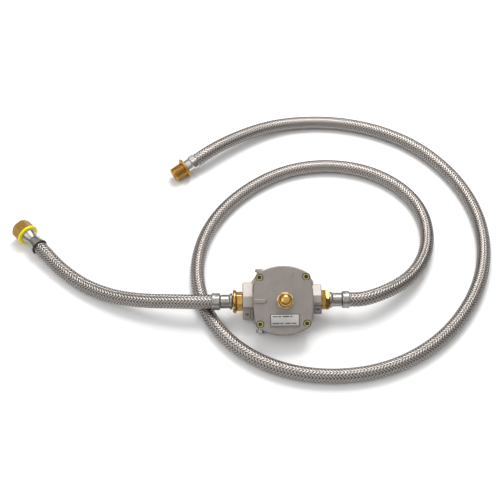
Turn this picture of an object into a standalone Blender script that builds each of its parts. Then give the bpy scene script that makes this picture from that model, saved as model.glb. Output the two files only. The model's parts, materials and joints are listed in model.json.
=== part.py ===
"""Low pressure gas regulator with two braided stainless hoses, at its real size in metres, +Z up.

The regulator lies on the sloping front face of its cast body, so its cover leans towards the front.
Its own parts are modelled square to the cover and parented to one tilted empty, port_axis:
local X runs along the two ports, local Z leaves the cover, and local Z = 0 is the port axis.
World X runs along the ports from inlet to outlet, world Y points away from the cover's front edge.
"""

import math

import bmesh
import bpy
import numpy as np
from mathutils import Matrix, Vector

MM = 0.001
GAP = 0.3 * MM                    # clearance left between touching pieces

# Resting pose of the regulator
TILT = math.radians(34.0)         # lean of the cover towards the front
PORT_HEIGHT = 29.5 * MM           # height of the port axis above the surface
HULL_SLOPE = math.tan(TILT)

# Cast body and cover
COVER_HALF_X = 38.75 * MM
COVER_HALF_Y = 44.5 * MM
SIDE_RADIUS = 135.0 * MM          # large arcs of the cover's outline
END_RADIUS = 57.6 * MM
CORNER_ROUND = 4.0 * MM
SCREW_OFFSET = 29.8 * MM
BODY_TOP = 10.0 * MM
RIM_BOTTOM = 3.0 * MM
DIAPHRAGM_THICK = 1.5 * MM
COVER_BOTTOM = BODY_TOP + DIAPHRAGM_THICK + 2 * GAP
COVER_TOP = 29.0 * MM
BACK_HALF_Y = 9.9 * MM            # flat back of the hull shaped underside
STACK_X = 2.5 * MM                # the cap, spring and diaphragm plates stand a little off the middle
CAVITY_RADIUS = 28.0 * MM
POCKET_RADIUS = 22.0 * MM
POCKET_FLOOR = -16.0 * MM

# Ports and their fittings, as distances along the port axis
BODY_LEFT = 41.0 * MM
BODY_RIGHT = 40.4 * MM
INLET_FACE = 51.9 * MM
OUTLET_FACE = 50.5 * MM
PORT_BORE = 10.1 * MM
GAS_BORE = 6.0 * MM

# Spring tower
CAP_BORE = 8.0 * MM
CAP_FLATS = 19.0 * MM
DOME_RADIUS = 8.6 * MM

# Valve train inside the body
LEVER_PIVOT = Vector((-12.5 * MM, 0.0, -9.0 * MM))
STEM_SLOT_HEIGHT = -9.0 * MM

# Hoses
HOSE_DIAMETER = 19.0 * MM
HOSE_RADIUS = HOSE_DIAMETER / 2
FERRULE_RADIUS = 11.3 * MM
LONG_HOSE_POINTS = 54
SHORT_HOSE_POINTS = 14
STUB = 5.0 * MM                   # straight length of a hose at its ferrules
INLET_HOSE_START = 92.4 * MM
OUTLET_HOSE_START = 87.3 * MM

# Routes of the hose centrelines in millimetres: straight out of a ferrule, down to the surface,
# round the loop, and up again into the end fitting that props the hose off the surface.
LONG_ROUTE = [
    (87.3, 0, 29.5), (100, 0, 29.5), (116, 3.7, 29.1), (132, 10.8, 27.6), (151, 22.5, 24.6),
    (169, 37.5, 20.8), (184, 56, 16.9), (195.5, 76.5, 13.5), (203.5, 99, 11.0), (207, 122, 9.9),
    (201.5, 167, 9.8), (178, 206.5, 9.8), (141, 235, 9.8), (97, 249.5, 9.8), (50, 250.5, 9.8),
    (5, 238, 9.8), (-35, 214, 9.8), (-69, 182, 9.8), (-95, 143, 9.8), (-110, 99, 9.8),
    (-113, 52.5, 9.8), (-103, 6.8, 9.8), (-81, -34.5, 9.8), (-48, -67, 9.8), (-7, -89.5, 9.8),
    (38.5, -100.5, 9.8), (85, -101, 9.8), (131, -91.5, 9.8), (173, -72, 9.8), (210.5, -43.5, 9.8),
    (241, -8, 9.8), (264.5, 32.5, 9.8), (279, 77, 9.8), (284, 123.5, 9.8), (279, 169.5, 9.8),
    (264.5, 213.5, 9.8), (241, 253.5, 9.8), (210, 288, 9.8), (171, 315, 9.8), (127, 333, 9.8),
    (81, 342, 9.8), (36.5, 341.5, 10.6), (-5, 332, 13.6), (-43.5, 313, 18.0), (-80, 288.5, 21.8),
    (-107.8, 266.7, 22.0), (-119.2, 259.0, 19.3),
]
SHORT_ROUTE = [
    (-92.4, 0, 29.5), (-107, 0, 29.5), (-123, 0.8, 29.3), (-138, 2.3, 28.2), (-153, 4.1, 26.4),
    (-168, 6.3, 24.1), (-183, 9.2, 21.6), (-197.5, 12.8, 19.1), (-212, 17.2, 16.7), (-226, 22.5, 14.5),
    (-239.5, 28.6, 12.7), (-253, 35.7, 11.2), (-266, 43.6, 10.2), (-278, 52.3, 9.8), (-290, 62, 9.8),
    (-301.5, 72.4, 10.3), (-312.3, 83.4, 11.4), (-323.4, 95.7, 13.4), (-332.8, 106.0, 14.2),
]

FINISHES = {
    "cast_aluminium": ((0.50, 0.48, 0.46), 0.45, 1.0),
    "machined_aluminium": ((0.68, 0.67, 0.65), 0.35, 1.0),
    "brass": ((0.78, 0.55, 0.22), 0.25, 1.0),
    "nickel": ((0.62, 0.60, 0.57), 0.22, 1.0),
    "stainless_braid": ((0.45, 0.43, 0.41), 0.35, 1.0),
    "zinc_yellow": ((0.60, 0.55, 0.28), 0.35, 1.0),
    "spring_steel": ((0.40, 0.40, 0.42), 0.35, 1.0),
    "yellow_plastic": ((0.95, 0.85, 0.05), 0.40, 0.0),
    "rubber": ((0.03, 0.03, 0.03), 0.70, 0.0),
    "nylon": ((0.85, 0.83, 0.78), 0.45, 0.0),
    "plate_foil": ((0.72, 0.70, 0.67), 0.40, 1.0),
}


def clear_scene():
    for obj in list(bpy.data.objects):
        bpy.data.objects.remove(obj, do_unlink=True)


def finish_material(name):
    material = bpy.data.materials.get(name)
    if material:
        return material
    colour, roughness, metallic = FINISHES[name]
    material = bpy.data.materials.new(name)
    material.use_nodes = True
    shader = material.node_tree.nodes["Principled BSDF"]
    shader.inputs["Base Color"].default_value = (*colour, 1.0)
    shader.inputs["Roughness"].default_value = roughness
    shader.inputs["Metallic"].default_value = metallic
    return material


def add_object(name, bm, finish=None, parent=None, place=None):
    """Puts a finished bmesh into the scene, shaded smooth with sharp edges kept."""
    bmesh.ops.recalc_face_normals(bm, faces=bm.faces)
    mesh = bpy.data.meshes.new(name)
    bm.to_mesh(mesh)
    bm.free()
    mesh.shade_smooth()
    mesh.set_sharp_from_angle(angle=math.radians(35.0))
    obj = bpy.data.objects.new(name, mesh)
    bpy.context.scene.collection.objects.link(obj)
    if finish:
        mesh.materials.append(finish_material(finish))
    if parent:
        obj.parent = parent
    if place is not None:
        obj.matrix_local = place
    return obj


def turned(profile, steps=24):
    """A closed solid turned about local Z from a closed outline of (radius, height) points."""
    bm = bmesh.new()
    points = [bm.verts.new((radius, 0.0, height)) for radius, height in profile]
    edges = [bm.edges.new((a, b)) for a, b in zip(points, points[1:] + points[:1])
             if max(a.co.x, b.co.x) > 0]
    bmesh.ops.spin(bm, geom=points + edges, axis=(0, 0, 1), cent=(0, 0, 0), steps=steps,
                   angle=math.tau, use_merge=True)
    bmesh.ops.remove_doubles(bm, verts=bm.verts, dist=1e-6)
    return bm


def prism(outline, low, high):
    """A straight prism of a flat outline of (x, y) points, from height low to height high."""
    bm = bmesh.new()
    face = bm.faces.new([bm.verts.new((x, y, low)) for x, y in outline])
    extruded = bmesh.ops.extrude_face_region(bm, geom=[face])["geom"]
    tops = [item for item in extruded if isinstance(item, bmesh.types.BMVert)]
    bmesh.ops.translate(bm, verts=tops, vec=(0, 0, high - low))
    return bm


def block(low, high):
    """A box between two opposite corners."""
    outline = [(low[0], low[1]), (high[0], low[1]), (high[0], high[1]), (low[0], high[1])]
    return prism(outline, low[2], high[2])


def ring(radius, low, high, steps=20):
    return turned([(0, low), (radius, low), (radius, high), (0, high)], steps)


def tube(outer, inner, low, high, steps=20):
    return turned([(inner, low), (outer, low), (outer, high), (inner, high)], steps)


def hexagon(flats, turn=0.0):
    radius = flats / math.sqrt(3.0)
    return [(radius * math.cos(turn + k * math.pi / 3), radius * math.sin(turn + k * math.pi / 3))
            for k in range(6)]


def along(direction, start=(0, 0, 0)):
    """A frame whose local Z runs along a direction, placed at a start point."""
    turn = Vector(direction).normalized().to_track_quat("Z", "Y").to_matrix().to_4x4()
    return Matrix.Translation(start) @ turn


def reshape(obj, tools, operation):
    """Applies exact Booleans of an object with tool meshes given in the object's own frame."""
    bpy.context.view_layer.update()
    helpers = []
    for index, bm in enumerate(tools):
        helper = add_object(f"{obj.name}_tool_{index}", bm)
        helper.matrix_world = obj.matrix_world
        helper.hide_render = True
        helper.display_type = "WIRE"
        modifier = obj.modifiers.new(f"tool_{index}", "BOOLEAN")
        modifier.operation = operation
        modifier.solver = "EXACT"
        modifier.object = helper
        helpers.append(helper)
    bpy.context.view_layer.update()
    shaped = bpy.data.meshes.new_from_object(obj.evaluated_get(bpy.context.evaluated_depsgraph_get()))
    obj.modifiers.clear()
    obj.data = shaped
    for helper in helpers:
        bpy.data.objects.remove(helper, do_unlink=True)
    shaped.shade_smooth()
    shaped.set_sharp_from_angle(angle=math.radians(35.0))


def placed(bm, place):
    bmesh.ops.transform(bm, matrix=place, verts=bm.verts)
    return bm


def at_stack(bm):
    """Moves a shape onto the axis of the cap, the spring and the diaphragm plates."""
    return placed(bm, Matrix.Translation((STACK_X, 0, 0)))


def cover_outline(inset=0.0, corner_steps=3, arc_steps=4):
    """The cover's rounded square: two strongly bowed ends, two nearly straight sides."""
    end_centre = COVER_HALF_Y - END_RADIUS
    side_centre = COVER_HALF_X - SIDE_RADIUS
    end_radius = END_RADIUS - inset
    side_radius = SIDE_RADIUS - inset
    corner = CORNER_ROUND
    # centre of the corner arc, which touches the end arc and the side arc from inside
    x, y = SCREW_OFFSET, SCREW_OFFSET
    for _ in range(40):
        x = side_centre + math.sqrt((side_radius - corner) ** 2 - y * y)
        y = end_centre + math.sqrt((end_radius - corner) ** 2 - x * x)
    side_angle = math.atan2(y, x - side_centre)
    end_angle = math.atan2(y - end_centre, x)
    quarter = [(side_centre + side_radius * math.cos(side_angle * k / arc_steps),
                side_radius * math.sin(side_angle * k / arc_steps)) for k in range(arc_steps + 1)]
    for k in range(1, corner_steps):
        angle = side_angle + (end_angle - side_angle) * k / corner_steps
        quarter.append((x + corner * math.cos(angle), y + corner * math.sin(angle)))
    for k in range(arc_steps + 1):
        angle = end_angle + (math.pi / 2 - end_angle) * k / arc_steps
        quarter.append((end_radius * math.cos(angle), end_centre + end_radius * math.sin(angle)))
    half = quarter + [(-px, py) for px, py in reversed(quarter[:-1])]
    return half + [(px, -py) for px, py in reversed(half[1:-1])]


def screw_places():
    return [(sx * SCREW_OFFSET, sy * SCREW_OFFSET) for sy in (1, -1) for sx in (-1, 1)]


def hull_floor(y):
    """Local height of the sloping underside, which lies on the surface at the front."""
    return (-PORT_HEIGHT / math.cos(TILT)) + abs(y) * HULL_SLOPE


def port_block(face, body_side, steps):
    """The cast boss round a port: an outline across the port axis, run out to the port's face."""
    bm = prism(steps, min(face, body_side), max(face, body_side))
    # the outline is given as (local Y, local Z): turn the prism's axis onto local X
    swap = Matrix(((0, 0, 1, 0), (1, 0, 0, 0), (0, 1, 0, 0), (0, 0, 0, 1)))
    return placed(bm, swap)


def along_x(bm, start=0.0):
    """Turns a shape made about local Z onto local X."""
    return placed(bm, along((1, 0, 0), (start, 0, 0)))


def regulator_body(frame):
    bm = bmesh.new()
    side_y, shoulder, corner, end, end_foot = 24.4 * MM, (34 * MM, 33 * MM), 27 * MM, 37.5 * MM, 36.8 * MM
    upper = BODY_TOP - 4 * MM
    places = [(-BODY_LEFT, side_y, upper), (BODY_RIGHT, side_y, upper),
              (-BODY_LEFT, side_y, hull_floor(side_y)), (BODY_RIGHT, side_y, hull_floor(side_y))]
    for sign in (-1, 1):
        places += [(sign * shoulder[0], shoulder[1], upper), (sign * corner, end, upper),
                   (sign * corner, end_foot, hull_floor(end_foot)),
                   (sign * (shoulder[0] - 0.5 * MM), BACK_HALF_Y, hull_floor(BACK_HALF_Y))]
    corners = [bm.verts.new((x, side * y, z)) for x, y, z in places for side in (1, -1)]
    bmesh.ops.convex_hull(bm, input=corners)
    body = add_object("regulator_body", bm, "cast_aluminium", frame)
    left = [(-24.4, -8), (-24.4, 7), (-10.2, 11), (-8.2, 15), (5.9, 15), (24.4, 5), (24.4, -8),
            (12, -17), (-12, -17)]
    right = [(-18.6, -8), (-18.6, 7), (-5.4, 10.5), (-4.0, 14), (5.9, 14), (20.2, 5), (20.2, -8),
             (11, -15), (-11, -15)]
    bosses = [prism(cover_outline(), RIM_BOTTOM, BODY_TOP),
              port_block(-INLET_FACE, -BODY_LEFT + MM, [(y * MM, z * MM) for y, z in left]),
              port_block(OUTLET_FACE, BODY_RIGHT - MM, [(y * MM, z * MM) for y, z in right])]
    reshape(body, bosses, "UNION")
    seat_bore = 5.4 * MM
    cuts = [at_stack(ring(CAVITY_RADIUS, 0.0, BODY_TOP + MM, 28)),
            ring(POCKET_RADIUS, POCKET_FLOOR, MM, 24),
            along_x(ring(PORT_BORE, 0.0, 15 * MM), -INLET_FACE - MM),
            along_x(ring(seat_bore, 0.0, 20 * MM), -INLET_FACE + 12 * MM),
            along_x(ring(PORT_BORE, 0.0, 15 * MM), OUTLET_FACE - 14 * MM),
            along_x(ring(GAS_BORE, 0.0, 24 * MM), OUTLET_FACE - 36 * MM)]
    cuts += [placed(ring(2.75 * MM, 1.8 * MM, BODY_TOP + MM, 16), Matrix.Translation((x, y, 0)))
             for x, y in screw_places()]
    for side in (1, -1):
        cuts.append(placed(ring(3.4 * MM, 0.0, 10 * MM, 16),
                           along((0, side, 0), (-SCREW_OFFSET, side * 29.5 * MM, -2.5 * MM))))
    reshape(body, cuts, "DIFFERENCE")


def regulator_cover(frame):
    bm = prism(cover_outline(), COVER_BOTTOM, COVER_TOP)
    rim = [e for e in bm.edges if all(v.co.z > COVER_TOP - 1e-6 for v in e.verts)]
    bmesh.ops.bevel(bm, geom=rim, offset=1.6 * MM, segments=2, profile=0.5, affect="EDGES", material=-1)
    cover = add_object("regulator_cover", bm, "cast_aluminium", frame)
    rib = block((-37.6 * MM, -3.0 * MM, COVER_TOP - 2 * MM), (-21.5 * MM, 2.6 * MM, COVER_TOP + 1.6 * MM))
    edges = [e for e in rib.edges if any(v.co.z > COVER_TOP for v in e.verts)]
    bmesh.ops.bevel(rib, geom=edges, offset=0.9 * MM, segments=2, profile=0.5, affect="EDGES", material=-1)
    label = block((-17.8 * MM, -33.6 * MM, COVER_TOP - MM), (21.2 * MM, -16.0 * MM, COVER_TOP + 0.9 * MM))
    reshape(cover, [rib, label], "UNION")
    roof = 24.0 * MM
    tower = 16.6 * MM
    chamber = [(0, COVER_BOTTOM - MM), (25 * MM, COVER_BOTTOM - MM), (25 * MM, roof), (11 * MM, roof),
               (11 * MM, tower), (CAP_BORE, tower), (CAP_BORE, COVER_TOP + MM), (0, COVER_TOP + MM)]
    cuts = [at_stack(turned(chamber, 28)),
            block((-16.9 * MM, -32.7 * MM, COVER_TOP + 0.2 * MM),
                  (20.3 * MM, -16.9 * MM, COVER_TOP + 2 * MM))]
    for x, y in screw_places():
        step = turned([(0, COVER_BOTTOM - MM), (2.75 * MM, COVER_BOTTOM - MM), (2.75 * MM, 24 * MM),
                       (4.7 * MM, 24 * MM), (4.7 * MM, COVER_TOP + MM), (0, COVER_TOP + MM)], 16)
        cuts.append(placed(step, Matrix.Translation((x, y, 0))))
    reshape(cover, cuts, "DIFFERENCE")


def diaphragm_stack(frame):
    low = BODY_TOP + GAP
    sheet = add_object("diaphragm", prism(cover_outline(0.4 * MM), low, low + DIAPHRAGM_THICK),
                       "rubber", frame)
    holes = [placed(ring(2.75 * MM, low - MM, low + 3 * MM, 16), Matrix.Translation((x, y, 0)))
             for x, y in screw_places()]
    reshape(sheet, holes + [at_stack(ring(2.8 * MM, low - MM, low + 3 * MM, 16))], "DIFFERENCE")
    axis = Matrix.Translation((STACK_X, 0, 0))
    top = low + DIAPHRAGM_THICK + GAP
    add_object("diaphragm_plate_upper", turned([(2.8 * MM, top), (21 * MM, top), (21.6 * MM, top + 0.9 * MM),
               (20.8 * MM, top + 1.2 * MM), (2.8 * MM, top + 1.2 * MM)]), "machined_aluminium", frame, axis)
    add_object("diaphragm_plate_lower", tube(19 * MM, 2.8 * MM, low - GAP - 1.3 * MM, low - GAP, 24),
               "machined_aluminium", frame, axis)
    head = top + 1.2 * MM + GAP
    foot = -13.0 * MM
    stem = add_object("diaphragm_stem", turned([
        (0, foot), (3.6 * MM, foot), (3.9 * MM, foot + 0.4 * MM), (3.9 * MM, low - GAP - 1.3 * MM - GAP),
        (2.5 * MM, low - GAP - 1.3 * MM - GAP), (2.5 * MM, head), (3.6 * MM, head),
        (3.6 * MM, head + 1.2 * MM), (0, head + 1.2 * MM)], 16), "brass", frame, axis)
    slot = block((-6 * MM, -3.2 * MM, STEM_SLOT_HEIGHT - 1.6 * MM),
                 (1.2 * MM, 3.2 * MM, STEM_SLOT_HEIGHT + 1.6 * MM))
    reshape(stem, [slot], "DIFFERENCE")


def control_spring(frame):
    """A coil of round wire between the upper plate and the spring seat, its ends wound flat."""
    wire, radius, low, high, turns, steps = 0.65 * MM, 5.4 * MM, 14.3 * MM, 20.0 * MM, 4.0, 12
    curve = bpy.data.curves.new("control_spring", "CURVE")
    curve.dimensions = "3D"
    curve.bevel_depth = wire
    curve.bevel_resolution = 1
    curve.use_fill_caps = True
    line = curve.splines.new("POLY")
    count = int(turns * steps) + 1
    line.points.add(count - 1)
    for k, point in enumerate(line.points):
        share = k / (count - 1)
        rise = min(max((share - 0.14) / 0.72, 0.0), 1.0)
        dead = min(share, 0.14) + max(share - 0.86, 0.0)
        height = low + dead * 1.1 * 2 * wire / 0.28 + (high - low - 2.2 * wire) * rise
        angle = math.tau * turns * share
        point.co = (radius * math.cos(angle), radius * math.sin(angle), height, 1.0)
    curve.materials.append(finish_material("spring_steel"))
    spring = bpy.data.objects.new("control_spring", curve)
    bpy.context.scene.collection.objects.link(spring)
    spring.parent = frame
    spring.matrix_local = Matrix.Translation((STACK_X, 0, 0))


def spring_tower(frame):
    axis = Matrix.Translation((STACK_X, 0, 0))
    seat = tube(6.5 * MM, 2.0 * MM, 21.0 * MM, 22.0 * MM)
    add_object("spring_seat", seat, "machined_aluminium", frame, axis)
    adjuster = add_object("adjuster_screw", turned([
        (6.9 * MM, 17.5 * MM), (CAP_BORE - GAP, 17.5 * MM), (CAP_BORE - GAP, 23.8 * MM), (0, 23.8 * MM),
        (0, 22.3 * MM), (6.9 * MM, 22.3 * MM)], 20), "brass", frame, axis)
    reshape(adjuster, [block((-5.5 * MM, -0.6 * MM, 23.0 * MM), (5.5 * MM, 0.6 * MM, 25 * MM))], "DIFFERENCE")
    gasket_top = COVER_TOP + GAP + 1.0 * MM
    gasket = tube(10.6 * MM, CAP_BORE, COVER_TOP + GAP, gasket_top)
    add_object("cap_gasket", gasket, "nylon", frame, axis)
    foot = gasket_top + GAP
    cap_bm = prism(hexagon(CAP_FLATS, math.radians(8.0)), foot, foot + 5.0 * MM)
    rim = [e for e in cap_bm.edges if all(v.co.z > foot + 4.9 * MM for v in e.verts)]
    bmesh.ops.bevel(cap_bm, geom=rim, offset=0.9 * MM, segments=1, profile=0.5, affect="EDGES", material=-1)
    cap = add_object("spring_cap", cap_bm, "brass", frame, axis)
    dome_foot = foot + 5.0 * MM
    dome = [(0, dome_foot - 2 * MM), (DOME_RADIUS, dome_foot - 2 * MM), (DOME_RADIUS, dome_foot + 3.2 * MM)]
    dome += [(DOME_RADIUS * math.cos(a), dome_foot + 3.2 * MM + 6.6 * MM * math.sin(a))
             for a in np.linspace(0.25, 1.35, 5)]
    dome += [(0, dome_foot + 9.8 * MM)]
    spigot = ring(CAP_BORE - GAP, 25.6 * MM, dome_foot - 2 * MM)
    reshape(cap, [turned(dome), spigot], "UNION")
    reshape(cap, [ring(5.0 * MM, 24 * MM, dome_foot + 3 * MM)], "DIFFERENCE")


def valve_train(frame):
    nose = -22.8 * MM
    seat = turned([(2.2 * MM, 0), (5.1 * MM, 0), (5.1 * MM, 10.0 * MM), (3.0 * MM, 11.6 * MM),
                   (2.2 * MM, 11.6 * MM)], 16)
    add_object("valve_seat", along_x(seat, nose - 11.6 * MM), "brass", frame)
    pad_face = nose + 1.7 * MM
    add_object("valve_pad", along_x(ring(3.9 * MM, 0.0, 1.6 * MM, 16), pad_face), "rubber", frame)
    holder_face = pad_face + 1.6 * MM + GAP
    add_object("valve_holder", along_x(ring(4.4 * MM, 0.0, 4.2 * MM, 16), holder_face), "brass", frame)
    arm_face = holder_face + 4.2 * MM + 0.4 * MM
    pivot_x, pivot_z, tip = LEVER_PIVOT.x, LEVER_PIVOT.z, STACK_X - 0.2 * MM
    arm = [(arm_face, 1.2 * MM), (arm_face, pivot_z + 2.4 * MM), (pivot_x - 2.4 * MM, pivot_z),
           (pivot_x - 1.6 * MM, pivot_z - 1.9 * MM), (pivot_x + 1.6 * MM, pivot_z - 1.9 * MM),
           (tip - 3 * MM, pivot_z - 0.8 * MM), (tip, pivot_z - 0.8 * MM), (tip, pivot_z + 0.8 * MM),
           (tip - 3 * MM, pivot_z + 0.8 * MM), (pivot_x + 2.6 * MM, pivot_z + 2.4 * MM),
           (arm_face + 1.8 * MM, pivot_z + 4.0 * MM), (arm_face + 1.8 * MM, 1.2 * MM)]
    upright = Matrix(((1, 0, 0, 0), (0, 0, -1, 0), (0, 1, 0, 0), (0, 0, 0, 1)))
    lever = placed(prism(arm, -2.5 * MM, 2.5 * MM), upright)
    bmesh.ops.translate(lever, verts=lever.verts, vec=-LEVER_PIVOT)
    lever = add_object("valve_lever", lever, "nickel", frame, Matrix.Translation(LEVER_PIVOT))
    reshape(lever, [placed(ring(1.35 * MM, -4 * MM, 4 * MM, 16), along((0, 1, 0)))], "DIFFERENCE")
    pin = placed(ring(1.0 * MM, -6.2 * MM, 6.2 * MM, 16), along((0, 1, 0), LEVER_PIVOT))
    add_object("lever_pin", pin, "spring_steel", frame)
    floor = POCKET_FLOOR + GAP
    base = block((pivot_x - 4 * MM, -6 * MM, floor), (pivot_x + 4 * MM, 6 * MM, floor + 1.4 * MM))
    bracket = add_object("lever_bracket", base, "nickel", frame)
    cheeks = [block((pivot_x - 3 * MM, side * 4.4 * MM - 1.1 * MM, floor + 0.5 * MM),
                    (pivot_x + 3 * MM, side * 4.4 * MM + 1.1 * MM, pivot_z + 3 * MM)) for side in (1, -1)]
    reshape(bracket, cheeks, "UNION")
    pin_hole = placed(ring(1.3 * MM, -9 * MM, 9 * MM, 16), along((0, 1, 0), LEVER_PIVOT))
    reshape(bracket, [pin_hole], "DIFFERENCE")


def cover_hardware(frame):
    shank, head, foot, top = 2.4 * MM, 3.9 * MM, 2.6 * MM, 28.6 * MM
    seat = 24.0 * MM + GAP
    for number, (x, y) in enumerate(screw_places(), 1):
        bm = turned([(0, foot), (shank, foot), (shank, seat), (head, seat), (head, top - 0.4 * MM),
                     (head - 0.4 * MM, top), (0, top)], 16)
        screw = add_object(f"cover_screw_{number}", bm, "zinc_yellow", frame, Matrix.Translation((x, y, 0)))
        reshape(screw, [prism(hexagon(4.0 * MM), top - 2.6 * MM, top + MM)], "DIFFERENCE")
    plate = block((-16.5 * MM, -32.3 * MM, COVER_TOP + 0.2 * MM + GAP),
                  (19.9 * MM, -17.3 * MM, COVER_TOP + 0.9 * MM))
    add_object("rating_plate", plate, "plate_foil", frame)
    for side, name in ((1, "tap_plug_rear"), (-1, "tap_plug_front")):
        start = side * 37.4 * MM
        bm = prism(hexagon(9.0 * MM), 0.0, 4.2 * MM)
        plug = add_object(name, bm, "nickel", frame,
                          along((0, side, 0), (-SCREW_OFFSET, start, -2.5 * MM)))
        reshape(plug, [ring(3.1 * MM, -7.0 * MM, 1.0 * MM, 16)], "UNION")


def port_fittings(frame):
    """Brass bushings, the union nut, the hose tails and the ferrules on the port axis."""
    inlet = along((-1, 0, 0))
    face = INLET_FACE + GAP
    add_object("inlet_bushing", turned([
        (GAS_BORE, face - 12 * MM), (9.6 * MM, face - 12 * MM), (9.8 * MM, face), (12.6 * MM, face),
        (12.2 * MM, face + 1.2 * MM), (11.7 * MM, face + 4.2 * MM), (12.2 * MM, face + 7.4 * MM),
        (14.8 * MM, face + 8.3 * MM), (15.4 * MM, face + 9.3 * MM), (15.4 * MM, face + 11.0 * MM),
        (14.6 * MM, face + 12.3 * MM), (8.0 * MM, face + 12.3 * MM), (8.0 * MM, face + 4.0 * MM),
        (GAS_BORE, face + 4.0 * MM)]), "brass", frame, inlet)
    bead = face + 13.2 * MM
    tail = hose_tail(bead, bead + 4.0 * MM, INLET_HOSE_START - 11.8 * MM,
                     INLET_HOSE_START - 1.0 * MM, bead - 8.6 * MM)
    add_object("inlet_hose_tail", tail, "nickel", frame, inlet)
    add_object("inlet_ferrule", ferrule(INLET_HOSE_START - 11.5 * MM, INLET_HOSE_START - GAP), "nickel",
               frame, inlet)

    outlet = along((1, 0, 0))
    face = OUTLET_FACE + GAP
    hex_bm = prism(hexagon(22.4 * MM, math.radians(12.0)), face, face + 4.9 * MM)
    bushing = add_object("outlet_bushing", hex_bm, "brass", frame, outlet)
    reshape(bushing, [tube(9.8 * MM, GAS_BORE, face - 12 * MM, face + MM),
                      ring(9.2 * MM, face + 4 * MM, face + 6.6 * MM)], "UNION")
    reshape(bushing, [ring(GAS_BORE, face - 14 * MM, face + 9 * MM)], "DIFFERENCE")
    nut_start = face + 5.2 * MM
    nut_bm = prism(hexagon(25.0 * MM, math.radians(21.0)), nut_start, nut_start + 4.4 * MM)
    nut = add_object("union_nut", nut_bm, "brass", frame, outlet)
    reshape(nut, [turned([(0, nut_start - MM), (9.6 * MM, nut_start - MM), (9.6 * MM, nut_start + 3.2 * MM),
                          (7.6 * MM, nut_start + 3.2 * MM), (7.6 * MM, nut_start + 6 * MM),
                          (0, nut_start + 6 * MM)])], "DIFFERENCE")
    flange = face + 6.6 * MM + GAP
    bead = nut_start + 4.4 * MM + GAP
    tail = turned([(GAS_BORE, flange), (9.1 * MM, flange), (9.1 * MM, nut_start + 2.9 * MM),
                   (7.2 * MM, nut_start + 2.9 * MM), (7.2 * MM, bead)] +
                  tail_outline(bead, bead + 4.6 * MM, OUTLET_HOSE_START - 10.6 * MM, OUTLET_HOSE_START - MM))
    add_object("outlet_hose_tail", tail, "nickel", frame, outlet)
    add_object("outlet_ferrule", ferrule(OUTLET_HOSE_START - 10.3 * MM, OUTLET_HOSE_START - GAP), "nickel",
               frame, outlet)


def tail_outline(bead, bead_end, neck_end, nipple_end):
    """The outer side of a hose tail: a rounded bead, a neck, and the nipple inside the ferrule."""
    middle = (bead + bead_end) / 2
    return [(10.2 * MM, bead), (10.8 * MM, bead + 0.8 * MM), (10.8 * MM, middle), (9.0 * MM, bead_end),
            (9.0 * MM, neck_end), (6.8 * MM, neck_end), (6.8 * MM, nipple_end), (GAS_BORE, nipple_end)]


def hose_tail(bead, bead_end, neck_end, nipple_end, spigot_start):
    spigot = 7.6 * MM
    return turned([(GAS_BORE, spigot_start), (spigot, spigot_start), (spigot, bead)] +
                  tail_outline(bead, bead_end, neck_end, nipple_end))


def ferrule(start, end, radius=FERRULE_RADIUS):
    """A crimped sleeve with rounded shoulders that closes on the nipple."""
    return turned([(7.1 * MM, start), (radius - 1.9 * MM, start), (radius - 0.5 * MM, start + 0.7 * MM),
                   (radius, start + 2.0 * MM), (radius, end - 1.6 * MM), (radius - 0.5 * MM, end - 0.4 * MM),
                   (radius - 1.2 * MM, end), (7.1 * MM, end)])


def smooth_route(route, count):
    """Points on the natural cubic curve through a route's own points, with a straight stub at each end."""
    knots = np.array(route) * MM
    chord = np.r_[0.0, np.cumsum(np.linalg.norm(np.diff(knots, axis=0), axis=1))]
    step = np.diff(chord)
    size = len(knots)
    matrix = np.zeros((size, size))
    right = np.zeros((size, 3))
    matrix[0, 0] = matrix[-1, -1] = 1.0
    for k in range(1, size - 1):
        matrix[k, k - 1:k + 2] = step[k - 1], 2 * (step[k - 1] + step[k]), step[k]
        right[k] = 6 * ((knots[k + 1] - knots[k]) / step[k] - (knots[k] - knots[k - 1]) / step[k - 1])
    bend = np.linalg.solve(matrix, right)

    def read(distance):
        k = min(int(np.searchsorted(chord, distance, side="right")) - 1, size - 2)
        h = step[k]
        a, b = (chord[k + 1] - distance) / h, (distance - chord[k]) / h
        return (a * knots[k] + b * knots[k + 1]
                + ((a ** 3 - a) * bend[k] + (b ** 3 - b) * bend[k + 1]) * h * h / 6)

    way_out = (knots[1] - knots[0]) / step[0]
    way_in = (knots[-1] - knots[-2]) / step[-1]
    inner = [read(d) for d in np.linspace(3 * STUB, chord[-1] - 3 * STUB, count - 4)]
    points = [knots[0], knots[0] + STUB * way_out] + inner + [knots[-1] - STUB * way_in, knots[-1]]
    return [Vector(point) for point in points]


def end_place(route):
    """The frame of a fitting at a route's end: local Z runs on along the hose."""
    last, end = (Vector(point) * MM for point in route[-2:])
    return along(end - last, end)


def hose(name, route, count):
    curve = bpy.data.curves.new(name, "CURVE")
    curve.dimensions = "3D"
    curve.bevel_depth = HOSE_RADIUS
    curve.bevel_resolution = 4
    curve.use_fill_caps = True
    line = curve.splines.new("POLY")
    points = smooth_route(route, count)
    line.points.add(len(points) - 1)
    for target, point in zip(line.points, points):
        target.co = (*point, 1.0)
    curve.materials.append(finish_material("stainless_braid"))
    obj = bpy.data.objects.new(name, curve)
    bpy.context.scene.collection.objects.link(obj)


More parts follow.
